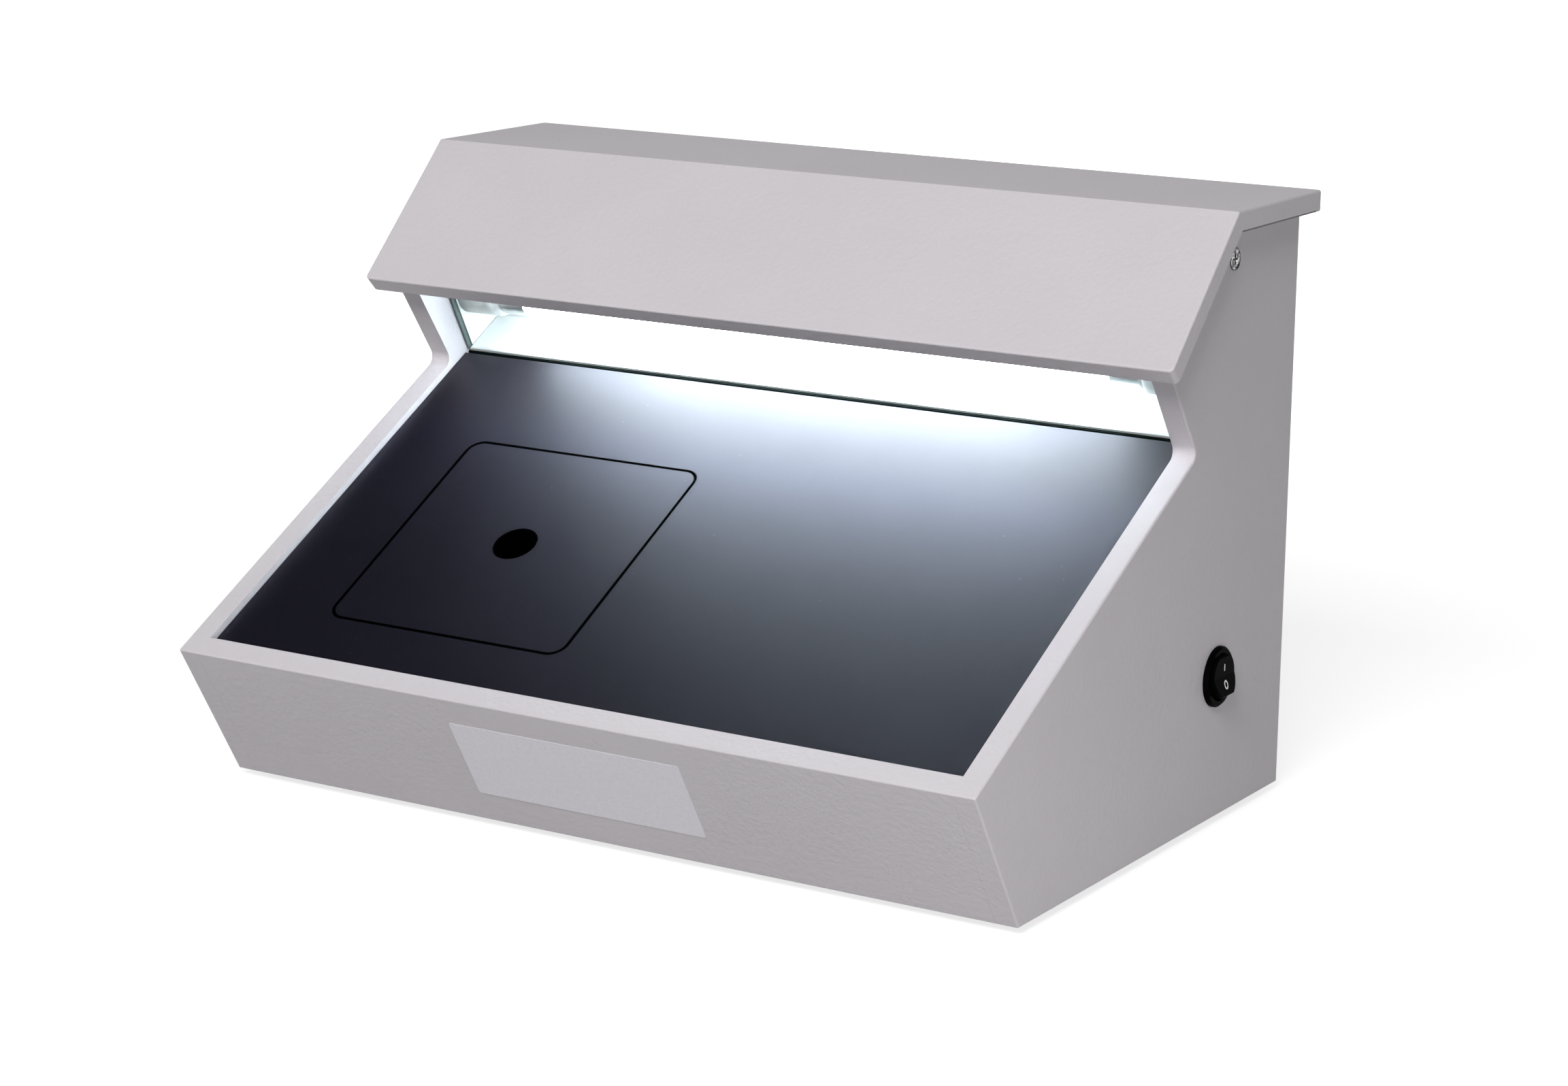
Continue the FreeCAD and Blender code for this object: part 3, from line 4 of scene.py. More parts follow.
import bpy
from mathutils import Matrix, Vector


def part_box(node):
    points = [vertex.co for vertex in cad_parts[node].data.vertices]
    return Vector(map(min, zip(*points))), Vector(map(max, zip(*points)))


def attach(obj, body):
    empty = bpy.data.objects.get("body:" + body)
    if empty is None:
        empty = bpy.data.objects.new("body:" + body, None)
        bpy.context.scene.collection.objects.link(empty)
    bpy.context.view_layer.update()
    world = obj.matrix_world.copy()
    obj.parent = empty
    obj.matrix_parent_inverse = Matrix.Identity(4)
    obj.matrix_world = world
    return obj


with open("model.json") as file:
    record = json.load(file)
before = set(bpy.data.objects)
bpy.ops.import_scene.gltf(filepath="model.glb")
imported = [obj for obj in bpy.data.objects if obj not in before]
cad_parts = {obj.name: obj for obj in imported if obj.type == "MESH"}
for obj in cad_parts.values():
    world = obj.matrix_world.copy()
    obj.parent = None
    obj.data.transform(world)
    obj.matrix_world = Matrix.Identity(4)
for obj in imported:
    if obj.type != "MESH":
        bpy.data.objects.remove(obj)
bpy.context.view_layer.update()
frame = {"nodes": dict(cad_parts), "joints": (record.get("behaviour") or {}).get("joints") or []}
nodes = frame["nodes"]

# Painted boards: the cranked side panels, leaning apron, base, back and hood are cut from sheet board and
# sprayed a pebbled satin grey. The sides are white behind the lamp cover, and below the platform they are
# painted black as shade. A painted shadow line shows under each end of the hood's top board.


class Graph:
    """Short ways to add and join the nodes of one node tree."""

    def __init__(self, tree):
        self.tree = tree

    def feed(self, socket, value):
        """Join another socket to this one, or set this one's own value."""
        if isinstance(value, bpy.types.NodeSocket):
            self.tree.links.new(value, socket)
        else:
            socket.default_value = value

    def add(self, kind, inputs=None, **settings):
        node = self.tree.nodes.new(kind)
        for key, value in settings.items():
            setattr(node, key, value)
        for key, value in (inputs or {}).items():
            self.feed(node.inputs[key], value)
        return node

    def calc(self, operation, *values, **settings):
        node = self.add("ShaderNodeMath", dict(enumerate(values)), operation=operation, **settings)
        return node.outputs["Value"]

    def vector_calc(self, operation, *values):
        node = self.add("ShaderNodeVectorMath", dict(enumerate(values)), operation=operation)
        return node.outputs["Value"]

    def rescale(self, value, target, source=(0.0, 1.0), **settings):
        """Carry a value from one range to another, each given by its two ends."""
        ends = {"From Min": source[0], "From Max": source[1], "To Min": target[0], "To Max": target[1]}
        return self.add("ShaderNodeMapRange", {"Value": value, **ends}, **settings).outputs["Result"]


class Finish(Graph):
    """A material made from patterns on the piece's own coordinates."""

    def __init__(self, name):
        self.material = bpy.data.materials.new(name)
        self.material.use_nodes = True
        super().__init__(self.material.node_tree)
        self.shader = self.tree.nodes["Principled BSDF"]
        self.place = self.add("ShaderNodeTexCoord").outputs["Object"]

    def shade(self, values):
        """Set or join the shader's own sockets."""
        for name, value in values.items():
            self.feed(self.shader.inputs[name], value)
        return self.material

    def axes(self):
        split = self.add("ShaderNodeSeparateXYZ", {"Vector": self.place})
        return split.outputs["X"], split.outputs["Y"], split.outputs["Z"]

    def from_middle(self):
        """Distance from the cabinet's middle, to the left or to the right."""
        return self.calc("ABSOLUTE", self.axes()[0])

    def along(self, direction):
        return self.vector_calc("DOT_PRODUCT", self.place, direction)

    def stretched(self, scale):
        return self.add("ShaderNodeMapping", {"Vector": self.place, "Scale": scale}).outputs["Vector"]

    def noise(self, scale, detail, place=None, **inputs):
        inputs.update(Vector=self.place if place is None else place, Scale=scale, Detail=detail)
        return self.add("ShaderNodeTexNoise", inputs).outputs["Fac"]

    def tint(self, value, *stops):
        """A colour that follows a value through stops of position and colour."""
        node = self.add("ShaderNodeValToRGB", {"Fac": value})
        elements = node.color_ramp.elements
        while len(elements) > 1:
            elements.remove(elements[-1])
        elements[0].position, elements[0].color = stops[0]
        for position, colour in stops[1:]:
            elements.new(position).color = colour
        return node.outputs["Color"]

    def mix(self, factor, first, second):
        node = self.add("ShaderNodeMix", {"Factor": factor, "A": first, "B": second}, data_type="RGBA")
        return node.outputs["Result"]

    def bump(self, height, strength, distance):
        node = self.add("ShaderNodeBump", {"Height": height, "Strength": strength, "Distance": distance})
        return node.outputs["Normal"]


def grey(level):
    return (level, level, level, 1.0)


def dress(names, material):
    """Give CAD nodes one finish."""
    for name in names:
        mesh = nodes[name].data
        mesh.materials.clear()
        mesh.materials.append(material)


def top_level(name, direction):
    """The highest level that a node reaches in a direction."""
    return max(corner.co.dot(direction) for corner in nodes[name].data.vertices)


plate_lift = next(joint for joint in frame["joints"] if joint["name"] == "plate_lift")
slope = math.atan2(-plate_lift["axis"][1], plate_lift["axis"][2])
up_slope = Vector((0.0, math.cos(slope), math.sin(slope)))
off_slope = Vector((0.0, -math.sin(slope), math.cos(slope)))
cover_low, cover_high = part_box("lamp_cover")
cover_size = cover_high - cover_low
cover_thickness = (cover_size.y * math.cos(slope) - cover_size.z * math.sin(slope)) / math.cos(2 * slope)
cover_front = Vector((0.0, cover_low.y, cover_high.z - cover_thickness * math.sin(slope))).dot(up_slope)
cover_back = cover_front + cover_thickness
hood_low, hood_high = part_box("hood_top_board")
side_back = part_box("right_side_panel")[1].y

INNER_FACE_REACH = 0.00053
SHADE_BELOW_PLATFORM_TOP = 0.003
SHADOW_LINE_WIDTH = 0.0008
PEBBLES_PER_METRE = 460.0
PEBBLE_HEIGHT = 0.00028
PAINT_SHADE, PAINT_LIGHT = (0.578, 0.546, 0.576, 1), (0.618, 0.588, 0.617, 1)
LINING_WHITE, PAINTED_SHADE_BLACK, PAINTED_SHADOW_GREY = (0.94, 0.95, 0.95, 1), grey(0.004), grey(0.05)


def cabinet_paint(name, lining_and_painted_shade=False, painted_shadow_line=False):
    paint = Finish(name)
    pebble = paint.noise(scale=PEBBLES_PER_METRE, detail=3.0, Roughness=0.6)
    drift = paint.noise(scale=9.0, detail=4.0, Roughness=0.6)
    colour = paint.tint(drift, (0.25, PAINT_SHADE), (0.75, PAINT_LIGHT))
    if lining_and_painted_shade:
        inner = paint.calc("LESS_THAN", paint.from_middle(), cover_high.x + INNER_FACE_REACH)
        behind = paint.calc("GREATER_THAN", paint.along(up_slope), cover_back)
        colour = paint.mix(paint.calc("MULTIPLY", behind, inner), colour, LINING_WHITE)
        # Below the platform's top the inner faces are painted black as shade, so the cabinet's inside looks
        # dark.
        painted_shade_level = top_level("viewing_platform", off_slope) - SHADE_BELOW_PLATFORM_TOP
        below = paint.calc("LESS_THAN", paint.along(off_slope), painted_shade_level)
        colour = paint.mix(paint.calc("MULTIPLY", below, inner), colour, PAINTED_SHADE_BLACK)
    if painted_shadow_line:
        # Painted shadow: the lowest strip of each end of the hood's top board is darkened as the shade under
        # its overhang.
        end = paint.calc("GREATER_THAN", paint.from_middle(), hood_high.x - SHADOW_LINE_WIDTH)
        low = paint.calc("LESS_THAN", paint.axes()[2], hood_low.z + SHADOW_LINE_WIDTH)
        over_side = paint.calc("LESS_THAN", paint.axes()[1], side_back)
        shadow_line_mask = paint.calc("MULTIPLY", paint.calc("MULTIPLY", end, low), over_side)
        colour = paint.mix(shadow_line_mask, colour, PAINTED_SHADOW_GREY)
    return paint.shade({"Base Color": colour, "Roughness": paint.rescale(pebble, (0.46, 0.62)),
                        "Specular IOR Level": 0.4,
                        "Normal": paint.bump(pebble, strength=0.8, distance=PEBBLE_HEIGHT)})


dress(["left_side_panel", "right_side_panel"], cabinet_paint("grey_paint_with_lining_and_painted_shade", lining_and_painted_shade=True))
dress(["front_apron", "base_panel", "back_panel", "hood_front_board"],
      cabinet_paint("light_grey_satin_paint"))
dress(["hood_top_board"], cabinet_paint("grey_paint_with_painted_shadow_line", painted_shadow_line=True))

# Cleats, rail and ridge block: planed softwood strips glued and screwed inside the cabinet. They stay bare
# where the boards hide them; the rail is coloured black as painted shade, so that the gap behind the
# platform shows as a dark line.


def planed_wood(name, late, early, pale, mirror=0.5):
    wood = Finish(name)
    rings = wood.noise(scale=3.0, detail=5.0, place=wood.stretched((6.0, 90.0, 90.0)), Distortion=0.6)
    return wood.shade({"Base Color": wood.tint(rings, (0.3, late), (0.55, early), (0.8, pale)),
                       "Roughness": 0.72, "Specular IOR Level": mirror,
                       "Normal": wood.bump(rings, strength=0.2, distance=0.0003)})


dress(["back_cleat_left", "back_cleat_right", "platform_front_cleat", "platform_cleat_left",
       "platform_cleat_right", "hood_ridge_block", "hood_cleat_left", "hood_cleat_right"],
      planed_wood("planed_softwood", (0.50, 0.33, 0.18, 1), (0.68, 0.50, 0.31, 1), (0.74, 0.58, 0.39, 1)))
# The rail's black is painted shade for the gap behind the platform.
dress(["rear_rail"],
      planed_wood("softwood_black_as_painted_shade", (0.001, 0.003, 0.0025, 1), (0.002, 0.005, 0.004, 1),
                  (0.003, 0.007, 0.006, 1), mirror=0.04))

# Viewing platform, its lift-out specimen plate and the board that backs the plate: satin black laminate. The
# plate is sawn out of the platform and drops back flush. A little dust lies on the faces. The sawn edges are
# dull black, which also paints shade into the finger hole and the gap, and the arrises along the gap carry
# painted shade; the reflection is painted paler near the lamp.

SAW_MARK_DEPTH = 0.0002
SHADED_ARRIS_WIDTH = 0.0003
PLATE_GAP = 0.0008
# The laminate's reflection is painted paler over the last few centimetres before the lamp cover.
PALE_FROM_COVER, PALE_FADES_AT = 0.02, 0.055
DUST_SPECK, DUST_FADE = 0.03, 0.05
LAMINATE_BLACK, SAWN_EDGE_AND_SHADE_BLACK = (0.0020, 0.0016, 0.0044, 1), (0.0006, 0.0006, 0.0007, 1)
DUST_GREY = (0.018, 0.019, 0.024, 1)
BLUE_SHEEN, PAINTED_PALER_REFLECTION = (0.70, 0.68, 1.0, 1), (0.67, 0.63, 0.76, 1)

plate_spots = [(corner.co.x, corner.co.dot(up_slope)) for corner in nodes["specimen_plate"].data.vertices]
plate_sides = [(min(places), max(places)) for places in zip(*plate_spots)]
plate_middle = [(low + high) / 2 for low, high in plate_sides]
plate_half = (plate_sides[0][1] - plate_sides[0][0]) / 2
corner_reach = max(abs(across - plate_middle[0]) + abs(along - plate_middle[1])
                   for across, along in plate_spots)
plate_corner = (2 * plate_half - corner_reach) / (2 - math.sqrt(2))


def plate_gap_shade_mask(finish):
    """1 in the gap round the specimen plate and on the arrises beside it, where shade is painted, and 0
    elsewhere.
    """
    beyond = finish.add("ShaderNodeCombineXYZ")
    for axis, run, middle in zip("XY", (finish.axes()[0], finish.along(up_slope)), plate_middle):
        reach = finish.calc("ABSOLUTE", finish.calc("SUBTRACT", run, middle))
        past_corner = finish.calc("SUBTRACT", reach, plate_half - plate_corner)
        finish.feed(beyond.inputs[axis], finish.calc("MAXIMUM", past_corner, 0.0))
    from_corner = finish.vector_calc("LENGTH", beyond.outputs["Vector"])
    return finish.calc("COMPARE", from_corner, plate_corner + PLATE_GAP / 2, PLATE_GAP / 2 + SHADED_ARRIS_WIDTH)


def black_laminate(node):
    sheet = Finish(f"satin_black_laminate_{node}")
    top = sheet.calc("GREATER_THAN", sheet.along(off_slope), top_level(node, off_slope) - SAW_MARK_DEPTH)
    # face is 1 on the top face away from the gap; the sawn edges and the gap's arrises get dull black as
    # painted shade.
    face = sheet.calc("SUBTRACT", top, plate_gap_shade_mask(sheet), use_clamp=True)
    speck = sheet.add("ShaderNodeTexVoronoi", {"Vector": sheet.place, "Scale": 95.0, "Randomness": 1.0})
    dust = sheet.rescale(speck.outputs["Distance"], (1.0, 0.0), source=(DUST_SPECK, DUST_FADE))
    # Painted highlight: the reflection's tint turns paler towards the lamp cover.
    painted_paling_by_lamp = sheet.rescale(sheet.along(up_slope), (0.0, 1.0),
                              source=(cover_front - PALE_FADES_AT, cover_front - PALE_FROM_COVER),
                              interpolation_type="SMOOTHSTEP")
    return sheet.shade({
        "Base Color": sheet.mix(face, SAWN_EDGE_AND_SHADE_BLACK, sheet.mix(dust, LAMINATE_BLACK, DUST_GREY)),
        "Roughness": sheet.rescale(sheet.noise(scale=14.0, detail=3.0), (0.50, 0.54)),
        "Specular IOR Level": sheet.rescale(face, (0.01, 0.54)),
        "Specular Tint": sheet.mix(painted_paling_by_lamp, BLUE_SHEEN, PAINTED_PALER_REFLECTION),
        "Normal": sheet.bump(sheet.noise(scale=1500.0, detail=2.0), strength=0.08, distance=0.0001)})


for board in ("viewing_platform", "specimen_plate", "plate_backing_board"):
    dress([board], black_laminate(board))

# Lamp cover: a sheet of clear float glass that stands square to the platform. Its ground ends show the dark
# green of the glass, paler in the middle of their thickness; its faces only mirror a little.

GROUND_END = 0.0002
GLASS_IOR = 1.5
END_DARK_GREEN, END_PALE_GREEN = (0.006, 0.018, 0.016, 1), (0.06, 0.10, 0.094, 1)


def cover_glass():
    glass = Finish("clear_float_glass")
    fresnel = glass.add("ShaderNodeFresnel", {"IOR": GLASS_IOR}).outputs["Fac"]
    inside = glass.add("ShaderNodeNewGeometry").outputs["Backfacing"]
    sheen = glass.calc("MULTIPLY", fresnel, glass.calc("SUBTRACT", 1.0, inside))
    clear = glass.add("ShaderNodeBsdfTransparent", {"Color": (0.975, 0.992, 0.985, 1)})
    mirror = glass.add("ShaderNodeBsdfGlossy", {"Color": (0.95, 1.0, 0.98, 1), "Roughness": 0.02})
    sheet = glass.add("ShaderNodeMixShader", {0: sheen, 1: clear.outputs["BSDF"], 2: mirror.outputs["BSDF"]})
    depth = glass.rescale(glass.along(up_slope), (0.0, 1.0), source=(cover_front, cover_back))
    glass.shade({"Base Color": glass.tint(depth, (0.22, END_DARK_GREEN), (0.40, END_PALE_GREEN),
                                          (0.60, END_PALE_GREEN), (0.78, END_DARK_GREEN)),
                 "Roughness": 0.35})
    ends = glass.calc("GREATER_THAN", glass.from_middle(), cover_high.x - GROUND_END)
    whole = glass.add("ShaderNodeMixShader", {0: ends, 1: sheet.outputs["Shader"],
                                              2: glass.shader.outputs["BSDF"]})
    glass.feed(glass.tree.nodes["Material Output"].inputs["Surface"], whole.outputs["Shader"])
    return glass.material


dress(["lamp_cover"], cover_glass())

# Reflector: thin steel folded into a trough that wraps round the back of the lamp, stoved gloss white and
# held to the rail by two screws painted with it.


def clouded(name, dark, light, rough, scale, detail=3.0):
    """A finish whose tone drifts a little from place to place."""
    finish = Finish(name)
    finish.shade({"Base Color": finish.tint(finish.noise(scale, detail), (0.3, dark), (0.7, light)),
                  "Roughness": rough})
    return finish


dress(["lamp_reflector", "reflector_screws"],
      clouded("stoved_white_enamel", (0.91, 0.92, 0.92, 1), (0.95, 0.96, 0.96, 1),
              rough=0.3, scale=25.0).material)

# Fluorescent lamp: a thin glass tube with white phosphor inside, lit and dimmer towards its ends, with
# aluminium caps crimped on. The starter's can has the same satin aluminium.

FADE_FROM_MIDDLE, FADE_TO_END = 0.07, 0.13
MIDDLE_GLOW, END_GLOW = 35.5, 14.0


def lit_phosphor():
    tube = Finish("lit_phosphor_tube")
    glow = tube.rescale(tube.from_middle(), (MIDDLE_GLOW, END_GLOW), source=(FADE_FROM_MIDDLE, FADE_TO_END))
    return tube.shade({"Base Color": (0.9, 0.93, 0.95, 1), "Roughness": 0.25,
                       "Emission Color": (0.88, 0.98, 1.04, 1), "Emission Strength": glow})


def satin_aluminium():
    metal = Finish("satin_aluminium_cap")
    brushed = metal.noise(scale=1.0, detail=3.0, place=metal.stretched((900.0, 40.0, 40.0)))
    return metal.shade({"Base Color": metal.rescale(brushed, (0.72, 0.8)),
                        "Roughness": metal.rescale(brushed, (0.28, 0.45)), "Metallic": 1.0})


dress(["lamp_tube"], lit_phosphor())
dress(["lamp_end_caps", "starter"], satin_aluminium())

# Lampholders, starter holder and ballast terminals: moulded in white plastic, thin enough for lamplight to
# glow through.

GLOW_DEPTH = 0.02


def moulding(name, dark, light, rough, mirror=0.5, glow_through=0.0):
    """Moulded plastic with a faint cloudiness and a fine skin; thin white plastic lets lamplight through."""
    plastic = clouded(name, dark, light, rough, scale=180.0)
    skin = plastic.noise(scale=2600.0, detail=1.0)
    return plastic.shade({"Specular IOR Level": mirror, "Subsurface Weight": glow_through,
                          "Subsurface Radius": (1.0, 1.0, 1.0), "Subsurface Scale": GLOW_DEPTH,
                          "Normal": plastic.bump(skin, strength=0.1, distance=0.00005)})


dress(["lampholder_left", "lampholder_right", "ballast_terminals", "starter_holder"],
      moulding("white_moulding", (0.90, 0.90, 0.89, 1), (0.95, 0.95, 0.94, 1), rough=0.42, glow_through=0.9))

# Hood fixings: a plated screw in a cup washer on each side, both coloured dark with pale spots as painted
# reflection and glints. Plain zinc screws hold the back, the ballast and the feet, and the switch and the
# inlet have tinned brass contacts.


def plated(name, dark, light, rough, spots=420.0, blend=0.2):
    metal = Finish(name)
    wear = metal.noise(scale=spots, detail=4.0)
    return metal.shade({"Base Color": metal.tint(wear, (0.5 - blend, grey(dark)), (0.5 + blend, grey(light))),
                        "Roughness": metal.rescale(wear, (rough, rough + 0.15)), "Metallic": 1.0})


# The screw's and the washer's dark colour with pale spots is painted reflection and glint.
dress(["hood_screws"],
      plated("nickel_plate_painted_dark_reflection", dark=0.03, light=0.6, rough=0.25, spots=700.0, blend=0.08))
dress(["hood_cup_washers"],
      plated("steel_painted_dark_reflection", dark=0.02, light=0.2, rough=0.35, spots=700.0, blend=0.1))
dress(["back_panel_screws", "ballast_screws", "foot_screws"],
      plated("zinc_plate", dark=0.5, light=0.62, rough=0.32))
dress(["switch_terminals", "inlet_pins"], plated("tinned_brass", dark=0.58, light=0.72, rough=0.22))

# Rocker switch: a round black bezel snapped into the side panel, with a black rocker. The rocker's upper half
# is marked with a bar for on and its lower half with a ring for off, both printed in white.

ON_BAR = (0.00016, 0.0006, 0.0026)
ON_BAR_BEVEL = 0.00005
OFF_RING_RADIUS, OFF_RING_LINE = 0.00115, 0.00028
OFF_RING_SQUASH = (0.3, 1.0, 1.25)
FACES_OUT = 0.9


def settle(piece, name, matrix):
    """Name a new piece and bake its place into its mesh."""
    piece.name = name
    piece.data.name = name
    piece.data.transform(matrix @ piece.matrix_world)
    piece.matrix_world = Matrix.Identity(4)


def scale_mesh(factors):
    """Scale the piece just made, in its mesh."""
    bpy.context.object.scale = factors
    bpy.ops.object.transform_apply(location=False, rotation=False, scale=True)


dress(["switch_housing", "switch_rocker"],
      moulding("deep_black_moulding", (0.001, 0.001, 0.0013, 1), (0.002, 0.002, 0.0024, 1),
               rough=0.32, mirror=0.005))
mark_print = clouded("printed_white_mark", grey(0.72), grey(0.85), rough=0.5, scale=3000.0, detail=2.0)
bezel_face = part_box("switch_housing")[1].x
rocker_faces = [face for face in nodes["switch_rocker"].data.polygons
                if face.center.x > bezel_face and face.normal.x > FACES_OUT]
middle_lean = (min(face.normal.z for face in rocker_faces) + max(face.normal.z for face in rocker_faces)) / 2
for name, upper in (("rocker_on_mark", True), ("rocker_off_mark", False)):
    half = [face for face in rocker_faces if (face.normal.z < middle_lean) == upper]
    spot = sum((face.center * face.area for face in half), Vector()) / sum(face.area for face in half)
    bpy.ops.object.select_all(action="DESELECT")
    if upper:
        bpy.ops.mesh.primitive_cube_add(size=1.0)
        scale_mesh(ON_BAR)
        bpy.ops.object.mode_set(mode="EDIT")
        bpy.ops.mesh.bevel(offset=ON_BAR_BEVEL, segments=2)
        bpy.ops.object.mode_set(mode="OBJECT")
    else:
        bpy.ops.mesh.primitive_torus_add(major_radius=OFF_RING_RADIUS, minor_radius=OFF_RING_LINE,
                                         major_segments=48, minor_segments=10, rotation=(0, math.pi / 2, 0))
        bpy.ops.object.transform_apply(location=False, rotation=True, scale=False)
        scale_mesh(OFF_RING_SQUASH)
    mark = bpy.context.object
    lean = Vector((1, 0, 0)).rotation_difference(half[0].normal).to_matrix().to_4x4()
    settle(mark, name, Matrix.Translation(spot) @ lean)
    mark.data.materials.append(mark_print.material)
    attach(mark, "rocker")

# Mains inlet and its fuse drawer: a flanged black moulding with a soft shine, pressed into the back panel.
# The drawer slides out below the socket and carries the fuse.
dress(["mains_inlet", "fuse_drawer"],
      moulding("black_moulding", (0.006, 0.006, 0.0065, 1), (0.011, 0.011, 0.012, 1),
               rough=0.42, mirror=0.3))

# Fuse: a short glass barrel with a metal cap on each end. It lies lengthways in the inlet's drawer and comes
# out with it.

CAP_FROM_MIDDLE = 0.5


def fuse_glass():
    fuse = Finish("fuse_glass")
    low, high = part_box("fuse")
    along = fuse.rescale(fuse.axes()[1], (-1.0, 1.0), source=(low.y, high.y))
    cap = fuse.calc("GREATER_THAN", fuse.calc("ABSOLUTE", along), CAP_FROM_MIDDLE)
    return fuse.shade({"Base Color": fuse.mix(cap, (0.5, 0.53, 0.52, 1), (0.7, 0.7, 0.68, 1)),
                       "Metallic": cap, "Roughness": 0.2})


dress(["fuse"], fuse_glass())

# Ballast: a stack of iron laminations dipped in grey enamel, whose edges still show as fine lines. It stands
# on the base and limits the lamp's current.


def dipped_enamel():
    enamel = Finish("dipped_grey_enamel")
    plates = enamel.add("ShaderNodeTexWave", {"Vector": enamel.place, "Scale": 300.0, "Distortion": 0.4},
                        bands_direction="Z").outputs["Fac"]
    return enamel.shade({"Base Color": enamel.tint(plates, (0.2, (0.10, 0.105, 0.115, 1)),
                                                   (0.8, (0.17, 0.175, 0.185, 1))),
                         "Roughness": 0.5, "Normal": enamel.bump(plates, strength=0.3, distance=0.0002)})


dress(["ballast_core"], dipped_enamel())

# Leads: stranded wires in soft plastic insulation, laid along the base and up to the lampholders. Brown is
# live, blue is the return and green is earth.
dress(["live_lead", "switched_lead", "lamp_lead_left"],
      moulding("brown_insulation", (0.09, 0.035, 0.015, 1), (0.14, 0.055, 0.025, 1), rough=0.45))
dress(["neutral_lead", "starter_lead_left", "starter_lead_right"],
      moulding("blue_insulation", (0.015, 0.05, 0.22, 1), (0.03, 0.08, 0.32, 1), rough=0.45))
dress(["earth_lead"], moulding("green_insulation", (0.05, 0.2, 0.02, 1), (0.35, 0.42, 0.03, 1), rough=0.45))

# Feet: round black rubber buttons, screwed under the base near its corners, so that the cabinet stands firm
# on a bench.
dress(["rubber_feet"], moulding("black_rubber", grey(0.012), grey(0.022), rough=0.75))

# Label on the apron: a thin silvery film with round corners, stuck flat a little above the apron's middle.
# It is left bare.

LABEL_WIDTH, LABEL_HEIGHT, LABEL_FILM = 0.100, 0.0364, 0.00012
LABEL_CORNER = 0.0012
LABEL_RISE = 0.0013
GLUE_GAP = 0.00003
SAME_FACE = 0.9999

apron = nodes["front_apron"].data
front_faces = [face for face in apron.polygons if face.normal.y < 0]
off_apron = max(front_faces, key=lambda face: face.area).normal.copy()
up_apron = Vector((1, 0, 0)).cross(-off_apron)
outer_corners = [apron.vertices[index].co for face in apron.polygons if face.normal.dot(off_apron) > SAME_FACE
                 for index in face.vertices]
apron_heights = [corner.dot(up_apron) for corner in outer_corners]
apron_middle = (outer_corners[0].dot(off_apron) * off_apron
                + (min(apron_heights) + max(apron_heights)) / 2 * up_apron)
bpy.ops.object.select_all(action="DESELECT")
bpy.ops.mesh.primitive_plane_add(size=1.0)
scale_mesh((LABEL_WIDTH, LABEL_HEIGHT, 1.0))
bpy.ops.object.mode_set(mode="EDIT")
bpy.ops.mesh.select_all(action="SELECT")
bpy.ops.mesh.bevel(offset=LABEL_CORNER, segments=5, affect="VERTICES")
bpy.ops.mesh.select_all(action="SELECT")
bpy.ops.mesh.extrude_region_move(TRANSFORM_OT_translate={"value": (0, 0, LABEL_FILM)})
bpy.ops.mesh.select_all(action="SELECT")
bpy.ops.mesh.normals_make_consistent(inside=False)
bpy.ops.object.mode_set(mode="OBJECT")
label = bpy.context.object
label_middle = apron_middle + up_apron * LABEL_RISE + off_apron * GLUE_GAP
label_turn = Matrix((Vector((1, 0, 0)), up_apron, off_apron)).transposed().to_4x4()
settle(label, "apron_label", Matrix.Translation(label_middle) @ label_turn)
label.data.materials.append(
    clouded("bare_silver_film", (0.725, 0.70, 0.75, 1), (0.775, 0.75, 0.80, 1),
            rough=0.38, scale=800.0, detail=2.0).material)
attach(label, "cabinet")

# Studio: a pale floor that runs on to a white surround, three soft lamps, and the camera. The floor and the
# surround look white to the camera, but shed only a plain, weaker light on the cabinet.

FLOOR_SIZE = 16.0
FLOOR_NEAR, FLOOR_FAR = 0.35, 1.1
FLOOR_NEAR_GLOW = 0.75
WALL_TOP, WALL_FOOT = 0.45, 0.2
AMBIENT = 0.215


def seen(graph):
    """1 for what the camera sees, also in mirrors and through glass, and 0 for the light shed on pieces."""
    path = graph.add("ShaderNodeLightPath").outputs
    direct = graph.calc("MAXIMUM", path["Is Camera Ray"], path["Is Glossy Ray"])
    return graph.calc("MAXIMUM", direct, path["Is Transmission Ray"])


def stage_white():
    white = Finish("studio_white")
    away = white.vector_calc("LENGTH", white.place)
    far = white.rescale(away, (FLOOR_NEAR_GLOW, 1.0), source=(FLOOR_NEAR, FLOOR_FAR),
                        interpolation_type="SMOOTHSTEP")
    return white.shade({"Base Color": grey(0.40), "Roughness": 0.9, "Specular IOR Level": 0.0,
                        "Emission Color": grey(1.0),
                        "Emission Strength": white.calc("MULTIPLY", seen(white), far)})


bpy.ops.object.select_all(action="DESELECT")
bpy.ops.mesh.primitive_plane_add(size=FLOOR_SIZE)
floor = bpy.context.object
floor.name = "studio_floor"
floor.data.materials.append(stage_white())

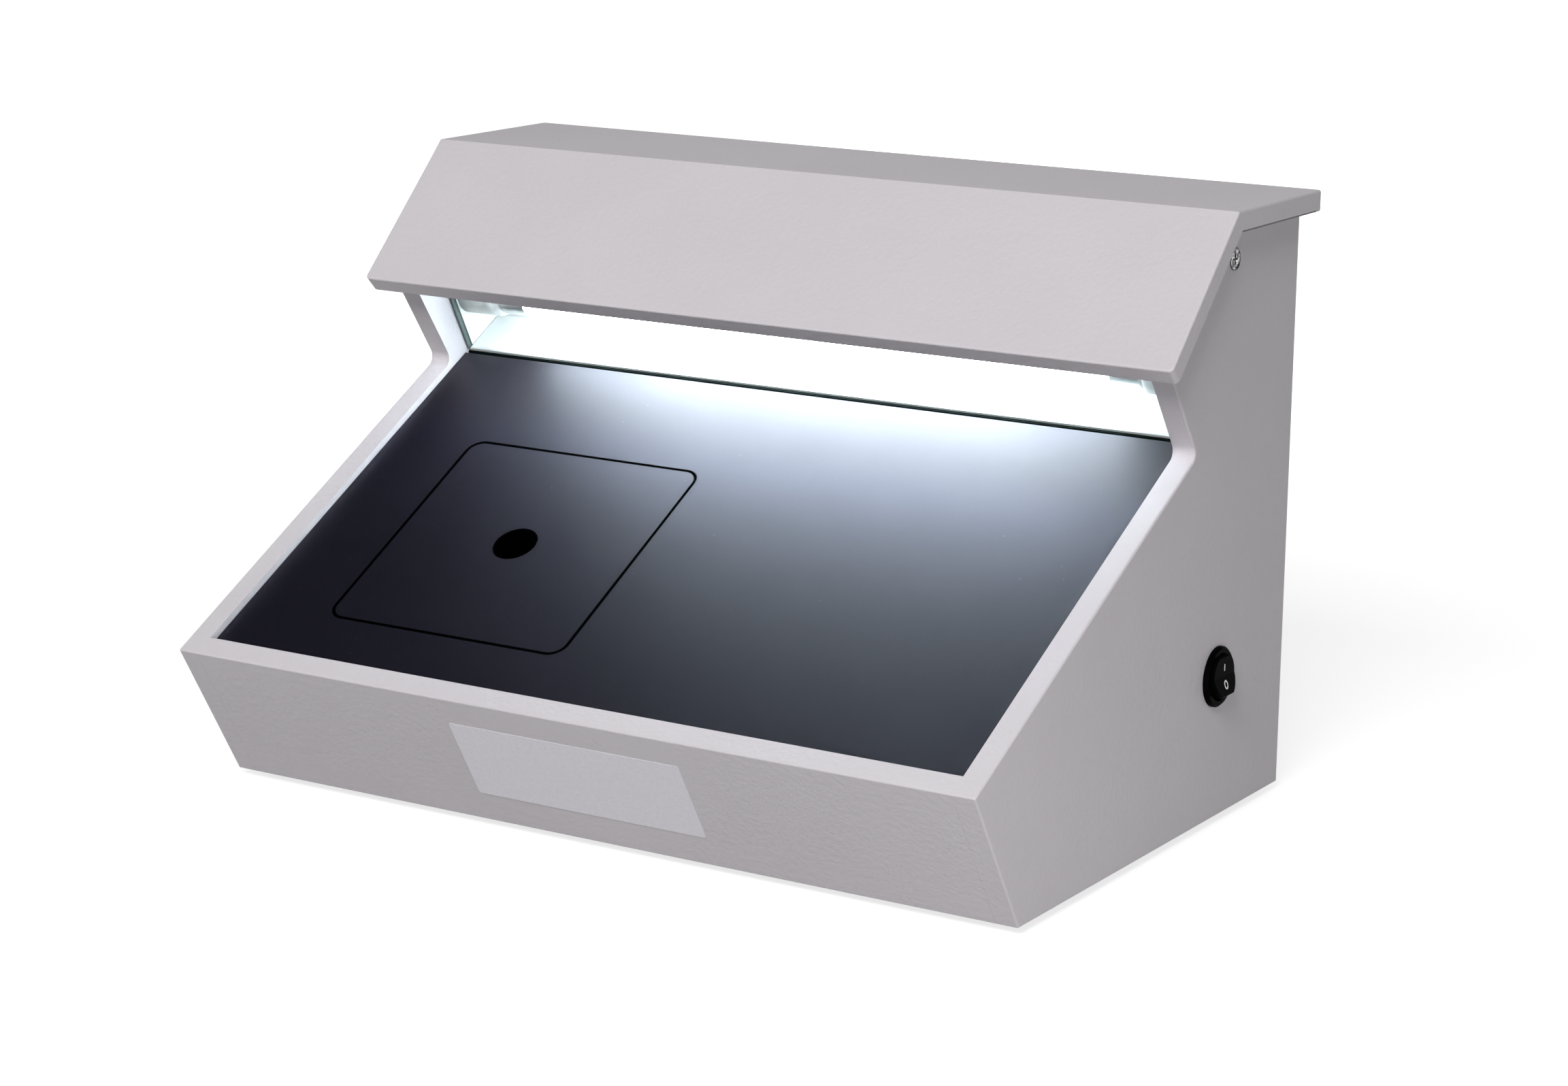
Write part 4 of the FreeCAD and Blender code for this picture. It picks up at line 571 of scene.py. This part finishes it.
world = bpy.data.worlds.new("studio_surround")
bpy.context.scene.world = world
world.use_nodes = True
surround = Graph(world.node_tree)
heading = surround.add("ShaderNodeTexCoord").outputs["Generated"]
height = surround.add("ShaderNodeSeparateXYZ", {"Vector": heading}).outputs["Z"]
walls = surround.rescale(height, (1.0, 0.0), source=(WALL_FOOT, WALL_TOP), interpolation_type="SMOOTHSTEP")
level = surround.add("ShaderNodeMix", {"Factor": seen(surround), "A": AMBIENT, "B": walls})
background = world.node_tree.nodes["Background"]
surround.feed(background.inputs["Strength"], level.outputs["Result"])
surround.feed(background.inputs["Color"], grey(1.0))


def soft_lamp(name, place, target, width, height, watts, mirrored=True):
    lamp = bpy.data.lights.new(name, "AREA")
    lamp.shape = "RECTANGLE"
    lamp.size, lamp.size_y = width, height
    lamp.energy = watts
    holder = bpy.data.objects.new(name, lamp)
    bpy.context.scene.collection.objects.link(holder)
    holder.location = place
    holder.rotation_euler = (Vector(target) - Vector(place)).to_track_quat("-Z", "Y").to_euler()
    holder.visible_camera = False
    holder.visible_glossy = mirrored


soft_lamp("key_softbox", place=(0.50, -1.97, 1.70), target=(0, 0, 0.1), width=1.2, height=0.9, watts=56.0)
soft_lamp("side_fill", place=(0.47, -0.21, 0.03), target=(0.17, -0.1, 0.06), width=0.2, height=0.05,
          watts=0.26)
soft_lamp("back_fill", place=(-1.3, 1.5, 0.4), target=(0, 0.05, 0.12), width=1.2, height=0.6, watts=15.0,
          mirrored=False)

CAMERA_PLACE = (0.7377, -1.1547, 0.4180)
CAMERA_TURN, CAMERA_LIFT, CAMERA_ROLL = math.radians(31.864), math.radians(13.148), math.radians(0.592)
backward = Vector((math.sin(CAMERA_TURN) * math.cos(CAMERA_LIFT),
                   -math.cos(CAMERA_TURN) * math.cos(CAMERA_LIFT), math.sin(CAMERA_LIFT)))
level_right = Vector((math.cos(CAMERA_TURN), math.sin(CAMERA_TURN), 0))
level_up = backward.cross(level_right)
right = level_right * math.cos(CAMERA_ROLL) + level_up * math.sin(CAMERA_ROLL)
upward = level_up * math.cos(CAMERA_ROLL) - level_right * math.sin(CAMERA_ROLL)
lens = bpy.data.cameras.new("photo_camera")
lens.sensor_fit = "HORIZONTAL"
lens.sensor_width = 36.0
lens.lens = 85.25
lens.clip_end = 60.0
camera = bpy.data.objects.new("photo_camera", lens)
bpy.context.scene.collection.objects.link(camera)
camera_turn = Matrix((right, upward, backward)).transposed().to_4x4()
camera.matrix_world = Matrix.Translation(CAMERA_PLACE) @ camera_turn
bpy.context.scene.camera = camera
bpy.context.scene.view_settings.view_transform = "Standard"
